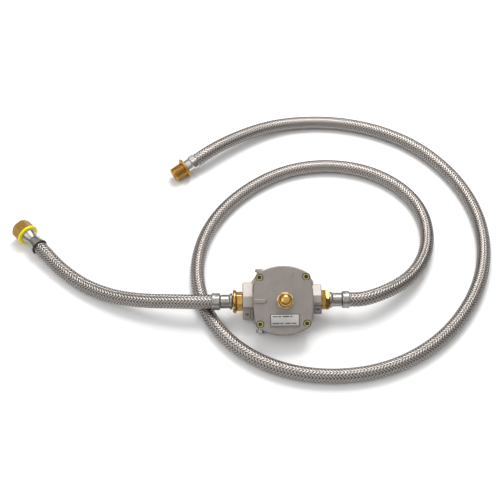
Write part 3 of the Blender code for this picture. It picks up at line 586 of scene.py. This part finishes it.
def boss(face, side, outline, edge):
    """The cast boss round a port, from its face to the body's side, its outline given across it."""
    bm = prism([(y, z) for y, z in outline], min(face, side), max(face, side))
    soften(bm, edge, None, 3)
    return moved(bm, Matrix(((0, 0, 1, 0), (1, 0, 0, 0), (0, 1, 0, 0), (0, 0, 0, 1))))


def panel_marks(face, side, low, high):
    """A raised frame and a flow arrow on a boss's lower face, between two corners of its outline."""
    slope = math.atan2(high[1] - low[1], high[0] - low[0])
    middle = ((face + side) / 2, (low[0] + high[0]) / 2, (low[1] + high[1]) / 2)
    place = in_mm(*middle) @ Matrix.Rotation(slope, 4, "X")
    half_x, half_y = 4.1, math.hypot(high[0] - low[0], high[1] - low[1]) / 2 - 1.9
    sides = [block((-half_x, y - 0.3, -0.6), (half_x, y + 0.3, 0.35)) for y in (-half_y, half_y)]
    sides += [block((x - 0.3, -half_y, -0.6), (x + 0.3, half_y, 0.35)) for x in (-half_x, half_x)]
    arrow = [(-2.6, -0.8), (0.2, -0.8), (0.2, -2.2), (2.8, 0.0), (0.2, 2.2), (0.2, 0.8), (-2.6, 0.8)]
    marks = [moved(bm, place) for bm in sides + [prism(arrow, -0.6, 0.4)]]
    return combined(marks[0], marks[1:], "UNION")


def body_shape(edge):
    bm = bmesh.new()
    side_y, shoulder, corner, end, end_foot, upper = 24.4, (34, 33), 27, 37.5, 36.8, BODY_TOP - 4
    back = 9.9
    places = [(-BODY_LEFT, side_y, upper), (BODY_RIGHT, side_y, upper),
              (-BODY_LEFT, side_y, hull_floor(side_y)), (BODY_RIGHT, side_y, hull_floor(side_y))]
    for sign in (-1, 1):
        places += [(sign * shoulder[0], shoulder[1], upper), (sign * corner, end, upper),
                   (sign * corner, end_foot, hull_floor(end_foot)),
                   (sign * (shoulder[0] - 0.5), back, hull_floor(back))]
    corners = [bm.verts.new(Vector((x, way * y, z)) * MM) for x, y, z in places for way in (1, -1)]
    bmesh.ops.convex_hull(bm, input=corners)
    bmesh.ops.dissolve_limit(bm, angle_limit=math.radians(1), verts=bm.verts, edges=bm.edges)
    soften(bm, 1.4 * edge, None, 4, math.radians(8))
    flange = prism(cover_outline(), 3.0, BODY_TOP)
    soften(flange, 0.6, edges_at(flange, 3.0), 3)
    soften(flange, 0.4, edges_at(flange, BODY_TOP), 2)
    tools = [flange, boss(-INLET_FACE, -BODY_LEFT + 3, INLET_BOSS, edge),
             boss(OUTLET_FACE, BODY_RIGHT - 3, OUTLET_BOSS, edge)]
    bm = combined(bm, tools, "UNION")
    turn = along((1, 0, 0))
    cuts = [moved(rod(28, 0, BODY_TOP + 1, 64), in_mm(STACK_X, 0, 0)), rod(22, -16, 1, 64)]
    for radius, low, high in ((PORT_HOLE, -INLET_FACE - 1, -INLET_FACE + PORT_DEPTH), (5.4, -40, -20),
                              (PORT_HOLE, OUTLET_FACE - PORT_DEPTH, OUTLET_FACE + 1),
                              (BORE, OUTLET_FACE - 36, 40)):
        cuts.append(moved(rod(radius, low, high, 48), turn))
    for x, y in screw_places():
        cuts.append(moved(rod(SCREW_HOLE, 1.8, 11, 24), in_mm(x, y, 0)))
    for way in (1, -1):
        start = Vector((-SCREW_OFFSET, way * 29.5, TAP_HEIGHT)) * MM
        cuts.append(moved(rod(3.4, 0, 10, 24), along((0, way, 0), start)))
    return combined(bm, cuts, "DIFFERENCE")


# Hoses ------------------------------------------------------------------------------------------

def smooth_route(route, step):
    """Close points on the natural cubic curve through a route's own points, in metres."""
    knots = np.array(route) * MM
    chord = np.r_[0.0, np.cumsum(np.linalg.norm(np.diff(knots, axis=0), axis=1))]
    gaps = np.diff(chord)
    size = len(knots)
    matrix, right = np.zeros((size, size)), np.zeros((size, 3))
    matrix[0, 0] = matrix[-1, -1] = 1.0
    for k in range(1, size - 1):
        matrix[k, k - 1:k + 2] = gaps[k - 1], 2 * (gaps[k - 1] + gaps[k]), gaps[k]
        right[k] = 6 * ((knots[k + 1] - knots[k]) / gaps[k] - (knots[k] - knots[k - 1]) / gaps[k - 1])
    bend = np.linalg.solve(matrix, right)
    where = np.linspace(0.0, chord[-1], int(chord[-1] / step) + 1)
    k = np.minimum(np.searchsorted(chord, where, side="right") - 1, size - 2)
    h, a, b = gaps[k][:, None], (chord[k + 1] - where)[:, None], (where - chord[k])[:, None]
    a, b = a / h, b / h
    bow = ((a ** 3 - a) * bend[k] + (b ** 3 - b) * bend[k + 1]) * h * h / 6
    points = a * knots[k] + b * knots[k + 1] + bow
    tuck = np.arange(1, int(HOSE_TUCK * MM / step) + 1)[:, None] * step
    way_out = (knots[0] - knots[1]) / gaps[0]
    way_in = (knots[-1] - knots[-2]) / gaps[-1]
    return np.vstack([(knots[0] + tuck * way_out)[::-1], points, knots[-1] + tuck * way_in])


def hose_piece(name, route, steps, step, settings, material, node):
    """A hose's braided skin: a tube along its route, raised and lowered by the braid."""
    points = smooth_route(route, step)
    distance = np.r_[0.0, np.cumsum(np.linalg.norm(np.diff(points, axis=0), axis=1))]
    tangent = np.gradient(points, distance, axis=0)
    tangent /= np.linalg.norm(tangent, axis=1)[:, None]
    side = np.cross(tangent, (0.0, 0.0, 1.0))
    side /= np.linalg.norm(side, axis=1)[:, None]
    up = np.cross(side, tangent)
    bm = bmesh.new()
    bm.loops.layers.uv.new("UVMap")
    bmesh.ops.create_grid(bm, x_segments=steps, y_segments=len(points) - 1, size=0.5, calc_uvs=True)
    mesh = bpy.data.meshes.new(name)
    bm.to_mesh(mesh)
    flat = np.empty(len(mesh.vertices) * 3)
    mesh.vertices.foreach_get("co", flat)
    flat = flat.reshape(-1, 3)
    where = np.rint((flat[:, 1] + 0.5) * (len(points) - 1)).astype(int)
    turn = flat[:, 0] + 0.5
    bands = settings.carriers
    height = braid_height(turn * bands, distance[where] * bands / settings.turn_length)
    radius = HOSE_RADIUS * MM + (height - 1.0) * settings.relief
    angle = math.tau * turn
    outward = side[where] * np.cos(angle)[:, None] + up[where] * np.sin(angle)[:, None]
    place = points[where] + outward * radius[:, None]
    mesh.vertices.foreach_set("co", place.ravel())
    layer = mesh.uv_layers[0].uv
    uv = np.empty(len(layer) * 2)
    layer.foreach_get("vector", uv)
    uv = uv.reshape(-1, 2)
    uv[:, 1] = np.interp(uv[:, 1] * (len(points) - 1), np.arange(len(points)), distance)
    layer.foreach_set("vector", uv.ravel())
    bm.clear()
    bm.from_mesh(mesh)
    bmesh.ops.remove_doubles(bm, verts=bm.verts, dist=1e-6)
    bpy.data.meshes.remove(mesh)
    piece = add_piece(name, bm, Matrix(), material, [node], sharp=180.0)
    return piece, points, float(distance[-1])


# Operators --------------------------------------------------------------------------------------

class MakeStage(bpy.types.Operator):
    """Makes the plain floor, the soft lights and the camera"""
    bl_idname = "regulator.make_stage"
    bl_label = "Stage"

    def execute(self, context):
        settings = context.scene.regulator_stage
        bm = bmesh.new()
        bmesh.ops.create_grid(bm, x_segments=8, y_segments=8, size=3.0)
        mesh = bpy.data.meshes.new("floor")
        bm.to_mesh(mesh)
        bm.free()
        floor = bpy.data.objects.new("floor", mesh)
        context.scene.collection.objects.link(floor)
        material, tree, shader = new_material("floor_paper", 0.0, 0.8)
        tone = noise(tree, 0.4)
        colour = tuple(settings.floor_colour)
        link(tree, mixed(tree, tone, shade(colour, 0.99), colour), shader, "Base Color")
        mesh.materials.append(material)
        world = bpy.data.worlds.new("studio")
        world.use_nodes = True
        tree, background = world.node_tree, world.node_tree.nodes["Background"]
        way = add_node(tree, "ShaderNodeTexCoord").outputs["Generated"]
        height = add_node(tree, "ShaderNodeSeparateXYZ", {0: way}).outputs[2]
        fade = {0: height, 1: 0.15, 2: 0.9, 3: WALL_LIGHT, 4: settings.sky}
        sky = add_node(tree, "ShaderNodeMapRange", fade, interpolation_type="SMOOTHSTEP")
        tree.links.new(sky.outputs[0], background.inputs["Strength"])
        background.inputs["Color"].default_value = (1.0, 1.0, 1.0, 1.0)
        context.scene.world = world
        context.scene.view_settings.view_transform = "Standard"
        for name, place, aim, size, power in (
                ("key", (0.15, 0.75, 1.25), (0.0, 0.1, 0.0), 0.7, settings.key_power),
                ("fill", (-0.9, -0.5, 1.1), (0.0, 0.1, 0.0), 0.9, settings.key_power * 0.25)):
            light = bpy.data.lights.new(name, "AREA")
            light.shape, light.size, light.energy = "SQUARE", size, power
            obj = bpy.data.objects.new(name, light)
            context.scene.collection.objects.link(obj)
            obj.matrix_world = along(Vector(place) - Vector(aim), place)
        camera = bpy.data.cameras.new("camera")
        camera.sensor_width, camera.lens = 36.0, settings.lens
        camera.clip_start, camera.clip_end = 0.05, 20.0
        obj = bpy.data.objects.new("camera", camera)
        context.scene.collection.objects.link(obj)
        turn = Matrix.Rotation(CAMERA_TILT, 4, "X") @ Matrix.Rotation(CAMERA_ROLL, 4, "Z")
        obj.matrix_world = Matrix.Translation(CAMERA_PLACE) @ turn
        context.scene.camera = obj
        return {"FINISHED"}


class MakeHoses(bpy.types.Operator):
    bl_idname = "regulator.make_hoses"
    bl_label = "Hoses"

    def execute(self, context):
        settings = context.scene.regulator_hose
        material = braid_material("stainless_braid", settings)
        long_piece, path, length = hose_piece("long_hose_braid", LONG_ROUTE, 48, 1.1 * MM, settings,
                                              material, "long_hose")
        short_piece, path, length = hose_piece("short_hose_braid", SHORT_ROUTE, 72, 0.7 * MM, settings,
                                               material, "short_hose")
        return {"FINISHED"}


class MakeCastings(bpy.types.Operator):
    """Makes the cast body and the cast cover"""
    bl_idname = "regulator.make_castings"
    bl_label = "Castings"

    def execute(self, context):
        settings = context.scene.regulator_metal
        material = cast_material("sand_cast_aluminium", tuple(settings.cast_colour))
        # Painted light: the body's aluminium is 1.3 times lighter than the cover's, for the light on its
        # upper faces.
        light = cast_material("body_cast_aluminium_painted_lighter", shade(settings.cast_colour, 1.3))
        edge = settings.edge_round / MM
        add_piece("body_casting", body_shape(edge), PORT_FRAME, light, ["regulator_body"],
                  weighted=True)
        add_piece("cover_casting", cover_shape(edge), PORT_FRAME, material,
                  ["regulator_cover"], weighted=True)
        # Painted shade: the raised marks are the casting's aluminium darkened, for the shade round cast-in
        # letters.
        dark = cast_material("port_mark_casting_painted_shade", shade(settings.cast_colour, 0.45))
        marks = {"inlet": panel_marks(-INLET_FACE, -BODY_LEFT, INLET_BOSS[1], INLET_BOSS[2]),
                 "outlet": panel_marks(OUTLET_FACE, BODY_RIGHT, OUTLET_BOSS[1], OUTLET_BOSS[2])}
        for port, bm in marks.items():
            add_piece(f"{port}_mark_raised_painted_shade", bm, PORT_FRAME, dark)
        return {"FINISHED"}


class MakeHardware(bpy.types.Operator):
    """Makes the cover screws, the tap plugs and the rating plate"""
    bl_idname = "regulator.make_hardware"
    bl_label = "Cover hardware"

    def execute(self, context):
        settings = context.scene.regulator_metal
        # Painted shade: below the cover's top the screws are darkened, for the shade inside their sockets.
        zinc = turned_metal("yellow_zinc", (0.50, 0.44, 0.20), 0.28, PORT_FRAME, 0.7, dark_below=28.1 * MM)
        profile = [(0, 2.6), (2.4, 2.6), (2.4, 24.3), (3.9, 24.3), (3.9, 28.6), (2.5, 28.6), (2.5, 26.0),
                   (0, 25.6)]
        for number, (x, y) in enumerate(screw_places(), 1):
            turn = math.radians(17.0 * number)
            bm = lathe(profile, 0.35, hexed(4.0, turn, 1.0, 25.8, 28.0), 72)
            add_piece(f"cover_screw_socket_{number}", bm, PORT_FRAME @ in_mm(x, y, 0), zinc,
                      [f"cover_screw_{number}"])
        plated = turned_metal("bright_nickel", tuple(settings.plated_colour), 0.18, PORT_FRAME)
        profile = [(0, -7), (3.1, -7), (3.1, 0), (5.3, 0), (5.3, 3.6), (4.7, 4.2), (2.0, 4.2), (1.6, 3.2),
                   (0, 3.2)]
        for way, name in ((1, "tap_plug_rear"), (-1, "tap_plug_front")):
            bm = lathe(profile, 0.2, hexed(9.0, 0.0, 3.5), 72)
            start = Vector((-SCREW_OFFSET, way * 37.4, TAP_HEIGHT)) * MM
            add_piece(f"{name}_hex", bm, PORT_FRAME @ along((0, way, 0), start), plated, [name])
        self.rating_plate()
        return {"FINISHED"}

    def rating_plate(self):
        """A thin foil plate with rows of plain printed bars in place of words."""
        low, top = COVER_TOP + 0.5, COVER_TOP + 0.85
        bm = block((-16.6, -32.4, low), (20.0, -17.2, top), 0.9)
        soften(bm, 0.1, edges_at(bm, top), 2)
        material, tree, shader = new_material("foil", 0.7, 0.38)
        brushed = noise(tree, 1.2 * MM, 5.0)
        link(tree, mixed(tree, brushed, (0.44, 0.42, 0.40), (0.56, 0.54, 0.52)), shader, "Base Color")
        bumped(tree, shader, brushed, 0.02 * MM)
        add_piece("rating_plate_foil", bm, PORT_FRAME, material, ["rating_plate"])
        ink_and_edge_shade, tree, shader = new_material("print_and_edge_shade", 0.0, 0.6)
        tone = mixed(tree, noise(tree, 0.5 * MM), (0.04, 0.04, 0.045), (0.10, 0.10, 0.11))
        link(tree, tone, shader, "Base Color")
        # Painted shade of the gap round the plate: a dark ink band over the plate's edge. The bars are print.
        inside = block((-15.9, -31.7, top - 0.4), (19.3, -17.9, top + 0.3), 0.5)
        outside = block((-16.7, -32.5, top - 0.2), (20.1, -17.1, top + 0.03), 0.9)
        line = combined(outside, [inside], "DIFFERENCE")
        add_piece("plate_edge_painted_shade", line, PORT_FRAME, ink_and_edge_shade)
        left, space, half_bar = -14.2, 1.0, 0.75
        rows = [(-20.3, (6.5, 3.5, 0.0, 8.5, 3.0)), (-29.0, (9.0, 4.0, 0.0, 7.5, 6.0))]
        for row, (y, lengths) in enumerate(rows, 1):
            x = left
            for part, length in enumerate(lengths, 1):
                if length:
                    bar = block((x, y - half_bar, top - 0.05), (x + length, y + half_bar, top + 0.06), 0.3)
                    add_piece(f"plate_bar_{row}_{part}", bar, PORT_FRAME, ink_and_edge_shade)
                x += length + space


class MakeSpringCap(bpy.types.Operator):
    """Makes the brass spring cap with its dome, and the gasket under it"""
    bl_idname = "regulator.make_spring_cap"
    bl_label = "Spring cap"

    def execute(self, context):
        settings = context.scene.regulator_metal
        brass = turned_metal("cap_brass", tuple(settings.brass_colour), 0.2, STACK_FRAME)
        foot = COVER_TOP + 1.6
        radius, flatness = 8.6, 0.7
        dome = [(radius * max(math.cos(a), 0.0) ** flatness, foot + 8.2 + 6.6 * math.sin(a))
                for a in np.linspace(0.0, math.pi / 2, 14)]
        dome[-1] = (0, dome[-1][1])
        profile = [(0, 34.8), (5, 34.8), (5, 25.6), (7.7, 25.6), (7.7, foot), (10.97, foot),
                   (10.97, foot + 4.2), (10.0, foot + 5.0), (8.9, foot + 5.0), (radius, foot + 5.3)] + dome
        bm = lathe(profile, 0.25, hexed(19.0, math.radians(7.5), 9.0))
        add_piece("spring_cap_dome", bm, STACK_FRAME, brass, ["spring_cap"], "cap")
        nylon = plastic_material("white_nylon", (0.72, 0.70, 0.64), 0.45)
        low = COVER_TOP + 0.3
        bm = ring(8.0, 10.6, low, low + 1.0)
        add_piece("cap_gasket_ring", bm, STACK_FRAME, nylon, ["cap_gasket"], "gasket")
        return {"FINISHED"}


def sleeve(shoulder, mouth):
    """A crimped ferrule: a sleeve over the hose's end, open at the hose and closed on the nipple."""
    radius, inner, nipple = 11.3, SLEEVE_BORE, SLEEVE_NECK
    lobes, depth = 8, 0.35
    profile = [(nipple, shoulder), (radius - 1.9, shoulder), (radius - 0.5, shoulder + 0.7)]
    profile += stretch(radius, shoulder + 2.0, mouth - 1.2, 0.6)
    profile += [(radius - 0.4, mouth - 0.2), (inner + 0.5, mouth), (inner, mouth - 0.4),
                (inner, mouth - 5.0), (nipple, mouth - 5.6)]
    return lathe(profile, 0.4, crimped(lobes, depth, shoulder + 2.4, mouth - 1.8, radius - 0.3))


class MakePortFittings(bpy.types.Operator):
    """Makes the brass bushings, the union nut, the hose tails and the ferrules at the two ports"""
    bl_idname = "regulator.make_port_fittings"
    bl_label = "Port fittings"

    def execute(self, context):
        settings = context.scene.regulator_metal
        brass = turned_metal("port_brass", tuple(settings.brass_colour), 0.22, OUTLET_AXIS, 0.75)
        plated = turned_metal("port_nickel", shade(settings.plated_colour, 0.85), 0.3, OUTLET_AXIS)
        self.inlet(brass, plated)
        self.outlet(brass, plated)
        return {"FINISHED"}

    def inlet(self, brass, plated):
        face = INLET_FACE + 0.3
        profile = [(BORE, face - 12), (9.6, face - 12), (9.8, face), (12.0, face)]
        profile += stretch(12.6, face + 0.6, face + 7.4, 0.6)
        profile += [(14.8, face + 8.3), (15.4, face + 9.2), (15.4, face + 11.0), (14.6, face + 12.3),
                    (8.0, face + 12.3), (8.0, face + 4.0), (BORE, face + 4.0)]
        cut = hexed(22.6, math.radians(7.5), 11.0, face - 0.1, face + 6.9)
        add_piece("inlet_bushing_hex", lathe(profile, 0.35, cut), INLET_AXIS, brass,
                  ["inlet_bushing"])
        bead = face + 13.2
        neck_end, nipple_end = INLET_HOSE_START - 11.8, INLET_HOSE_START - 1.0
        profile = [(BORE, bead - 8.6), (7.6, bead - 8.6), (7.6, bead)]
        profile += self.tail(bead, bead + 4.0, neck_end, nipple_end)
        add_piece("inlet_hose_tail_plated", lathe(profile, 0.8), INLET_AXIS, plated,
                  ["inlet_hose_tail"])
        bm = sleeve(INLET_HOSE_START - 11.5, INLET_HOSE_START - 0.3)
        add_piece("inlet_ferrule_crimped", bm, INLET_AXIS, plated, ["inlet_ferrule"])

    def outlet(self, brass, plated):
        face = OUTLET_FACE + 0.3
        profile = [(BORE, face - 12), (9.8, face - 12), (9.8, face), (12.0, face), (12.9, face + 0.8),
                   (12.9, face + 4.2), (12.0, face + 4.9), (9.2, face + 4.9), (9.2, face + 6.6),
                   (BORE, face + 6.6)]
        cut = hexed(22.4, math.radians(11.25), 11.0, face - 0.1, face + 5)
        add_piece("outlet_bushing_hex", lathe(profile, 0.25, cut), OUTLET_AXIS, brass,
                  ["outlet_bushing"])
        low, high = face + 5.2, face + 9.6
        profile = [(9.6, low), (13.2, low), (14.4, low + 0.9), (14.4, high - 0.9), (13.2, high), (7.6, high),
                   (7.6, low + 3.2), (9.6, low + 3.2)]
        cut = hexed(25.0, math.radians(22.5), 11.5)
        add_piece("union_nut_hex", lathe(profile, 0.25, cut), OUTLET_AXIS, brass, ["union_nut"],
                  "union")
        flange, bead = face + 6.9, high + 0.3
        neck_end, nipple_end = OUTLET_HOSE_START - 10.6, OUTLET_HOSE_START - 1.0
        profile = [(BORE, flange), (9.1, flange), (9.1, low + 2.9), (7.2, low + 2.9), (7.2, bead)]
        profile += self.tail(bead, bead + 4.6, neck_end, nipple_end)
        cut = hexed(17.6, math.radians(15.0), 8.0, bead + 4.7, neck_end)
        add_piece("outlet_hose_tail_plated", lathe(profile, 0.6, cut), OUTLET_AXIS, plated,
                  ["outlet_hose_tail"])
        bm = sleeve(OUTLET_HOSE_START - 10.3, OUTLET_HOSE_START - 0.3)
        add_piece("outlet_ferrule_crimped", bm, OUTLET_AXIS, plated, ["outlet_ferrule"])

    @staticmethod
    def tail(bead, bead_end, neck_end, nipple_end):
        """The outer side of a hose tail: a rounded bead, a neck, and the nipple inside the ferrule."""
        return [(10.2, bead), (10.8, bead + 1.0), (10.8, bead + 2.4), (9.1, bead_end),
                *stretch(9.0, bead_end + 0.4, neck_end, 1.5), (6.8, neck_end), (6.8, nipple_end),
                (BORE, nipple_end)]


class MakeHoseEnds(bpy.types.Operator):
    """Makes the swivel nut end of the short hose and the threaded end of the long hose"""
    bl_idname = "regulator.make_hose_ends"
    bl_label = "Hose ends"

    def execute(self, context):
        settings = context.scene.regulator_metal
        self.short_end(settings)
        self.long_end(settings)
        return {"FINISHED"}

    def short_end(self, settings):
        swivel = JOINTS["swivel_nut_turn"]
        place = along(swivel["axis"], swivel["pos_m"])
        plated = turned_metal("short_end_nickel", tuple(settings.plated_colour), 0.3, place)
        brass = turned_metal("swivel_brass", shade(settings.brass_colour, 0.62), 0.32, place,
                             rings=0.5 * MM)
        groove, flare, ring_start, nut_start, mouth = 15.4, 26.6, 27.0, 30.5, 46.5
        inner, neck = SLEEVE_BORE, SLEEVE_NECK
        profile = [(inner, 1.9), (11.3, 1.9), (11.2, 2.4), (10.6, 6.0), (9.4, 9.8), (8.7, groove - 0.9),
                   (8.2, groove - 0.3), (neck, groove - 0.3), (neck, 5.5), (inner, 4.9)]
        add_piece("short_end_ferrule_crimped", lathe(profile, 0.5), place, plated,
                  ["short_end_ferrule"])
        # A black ring that makes the ferrule's mouth dark round the hose.
        lip = lathe([(inner, -0.2), (11.4, -0.2), (11.7, 0.8), (11.4, 1.7), (inner, 1.7)], 0.4)
        black = plastic_material("lip_black", (0.012, 0.011, 0.011), 0.5)
        add_piece("short_end_lip_ring", lip, place, black)
        seat = nut_start + 6.0
        profile = [(BORE, 1.0), (6.8, 1.0), (6.8, groove), (7.9, groove), (8.4, groove + 0.8),
                   (8.5, groove + 3.0), (9.1, groove + 6.0), (10.0, flare - 2.6), (10.6, flare - 1.0),
                   (10.6, flare), (8.6, flare), (8.6, nut_start + 3.4), (9.6, nut_start + 3.4),
                   (9.6, seat - 0.3), (BORE, seat - 0.3)]
        add_piece("short_end_tail_flared", lathe(profile, 0.5), place, plated, ["short_end_tail"])
        yellow = plastic_material("yellow_ring_plastic", tuple(settings.ring_colour), 0.35)
        end = nut_start - 0.3
        profile = [(9.0, ring_start), (14.9, ring_start), (15.5, ring_start + 0.7), (15.5, end - 0.7),
                   (14.9, end), (9.0, end)]
        add_piece("gas_ring_yellow", lathe(profile, 0.45), place, yellow, ["gas_ring"],
                  "swivel")
        thread = stretch(10.2, mouth - 1.0, nut_start + 3.6, 0.22)
        profile = [(9.0, nut_start), (13.6, nut_start), (14.66, nut_start + 0.9), (14.66, mouth - 1.4),
                   (13.2, mouth), (11.2, mouth), *thread, (10.2, nut_start + 3.1), (9.0, nut_start + 3.1)]
        flats = hexed(25.4, math.radians(52.5), 12.0)
        screw = threaded(1.8, 0.7, nut_start + 7.8, mouth, 9.9, 10.5, True)
        bm = lathe(profile, 0.3, lambda r, a, z: screw(flats(r, a, z), a, z))
        add_piece("swivel_nut_brass", bm, place, brass, ["swivel_nut"], "swivel")
        washer = plastic_material("washer_nylon", (0.62, 0.60, 0.55), 0.5)
        bm = ring(BORE, 9.8, seat, seat + 1.6)
        add_piece("sealing_washer_flat", bm, place, washer, ["sealing_washer"])

    def long_end(self, settings):
        last, end = (Vector(point) * MM for point in LONG_ROUTE[-2:])
        place = along(end - last, end)
        # Painted light: this nickel is 1.5 times lighter than the other plated fittings, for a highlight on
        # it.
        plated = turned_metal("long_end_nickel_painted_lighter", shade(settings.plated_colour, 1.5), 0.24, place)
        brass = turned_metal("nipple_brass", shade(settings.brass_colour, 0.85), 0.3, place, 0.92,
                             painted_edge_strength=0.1)
        flange, thread, tip = 18.4, 22.2, 40.0
        inner, neck = SLEEVE_BORE, SLEEVE_NECK
        profile = [(inner, 0.3), (inner + 0.6, 0.0), (11.0, 0.5)] + stretch(11.4, 1.2, 8.0, 0.6)
        profile += [(10.0, 9.4), (9.4, 10.4), (9.2, flange - 0.3), (neck, flange - 0.3), (neck, 5.6),
                    (inner, 5.0)]
        cut = hexed(21.2, 0.0, 10.4, 0.9, 8.4)
        add_piece("long_end_ferrule_crimped", lathe(profile, 0.4, cut), place, plated,
                  ["long_end_ferrule"])
        profile = [(BORE, 1.0), (6.8, 1.0), (6.8, flange), (14.2, flange), (15.0, flange + 0.9),
                   (15.0, thread - 1.5), (14.2, thread - 0.8), (12.4, thread - 0.2), (12.2, thread + 0.3),
                   (9.8, thread + 0.5)]
        profile += stretch(10.65, thread + 1.3, tip - 0.9, 0.16)
        profile += [(9.9, tip), (8.0, tip), (BORE, tip - 2.0)]
        cut = threaded(PIPE_PITCH, 0.85, thread + 1.0, tip - 0.4, 9.9, 10.9)
        add_piece("end_nipple_threaded", lathe(profile, 0.25, cut), place, brass, ["end_nipple"])


class DressInternals(bpy.types.Operator):
    """Gives the frame's hidden inner parts their materials"""
    bl_idname = "regulator.dress_internals"
    bl_label = "Inner parts"

    def execute(self, context):
        settings = context.scene.regulator_metal
        brass = turned_metal("inner_brass", tuple(settings.brass_colour), 0.25, PORT_FRAME)
        plated = turned_metal("inner_plated", tuple(settings.plated_colour), 0.25, PORT_FRAME)
        sheet = turned_metal("inner_aluminium", (0.62, 0.61, 0.60), 0.3, PORT_FRAME)
        wire = turned_metal("spring_wire", (0.36, 0.36, 0.38), 0.3, PORT_FRAME)
        rubber = plastic_material("diaphragm_rubber", (0.02, 0.02, 0.02), 0.7)
        dress = {"diaphragm": rubber, "valve_pad": rubber, "control_spring": wire, "lever_pin": wire,
                 "diaphragm_plate_upper": sheet, "diaphragm_plate_lower": sheet, "spring_seat": sheet,
                 "diaphragm_stem": brass, "adjuster_screw": brass, "valve_seat": brass, "valve_holder": brass,
                 "valve_lever": plated, "lever_bracket": plated}
        for name, material in dress.items():
            for slot in frame["nodes"][name].material_slots:
                slot.material = material
        return {"FINISHED"}


OPERATORS = (MakeStage, MakeCastings, MakeHardware, MakeSpringCap, MakePortFittings, MakeHoseEnds,
             MakeHoses, DressInternals)


class RegulatorPanel(bpy.types.Panel):
    """Lists the settings and the steps of the build"""
    bl_idname = "VIEW3D_PT_regulator"
    bl_label = "Regulator"
    bl_space_type = "VIEW_3D"
    bl_region_type = "UI"
    bl_category = "Regulator"

    def draw(self, context):
        for operator in OPERATORS:
            self.layout.operator(operator.bl_idname)
        scene = context.scene
        for group in (scene.regulator_hose, scene.regulator_metal, scene.regulator_stage):
            for name in group.__annotations__:
                self.layout.prop(group, name)


CLASSES = (HoseSettings, RegulatorSettings, StageSettings, *OPERATORS, RegulatorPanel)


def register():
    for cls in CLASSES:
        bpy.utils.register_class(cls)
    bpy.types.Scene.regulator_hose = bpy.props.PointerProperty(type=HoseSettings)
    bpy.types.Scene.regulator_metal = bpy.props.PointerProperty(type=RegulatorSettings)
    bpy.types.Scene.regulator_stage = bpy.props.PointerProperty(type=StageSettings)


def unregister():
    del bpy.types.Scene.regulator_hose, bpy.types.Scene.regulator_metal, bpy.types.Scene.regulator_stage
    for cls in reversed(CLASSES):
        bpy.utils.unregister_class(cls)


def main():
    register()
    for operator in OPERATORS:
        group, name = operator.bl_idname.split(".")
        if getattr(getattr(bpy.ops, group), name)() != {"FINISHED"}:
            raise RuntimeError(f"{operator.bl_label} didn't finish")
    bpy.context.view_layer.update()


if __name__ == "__main__":
    main()
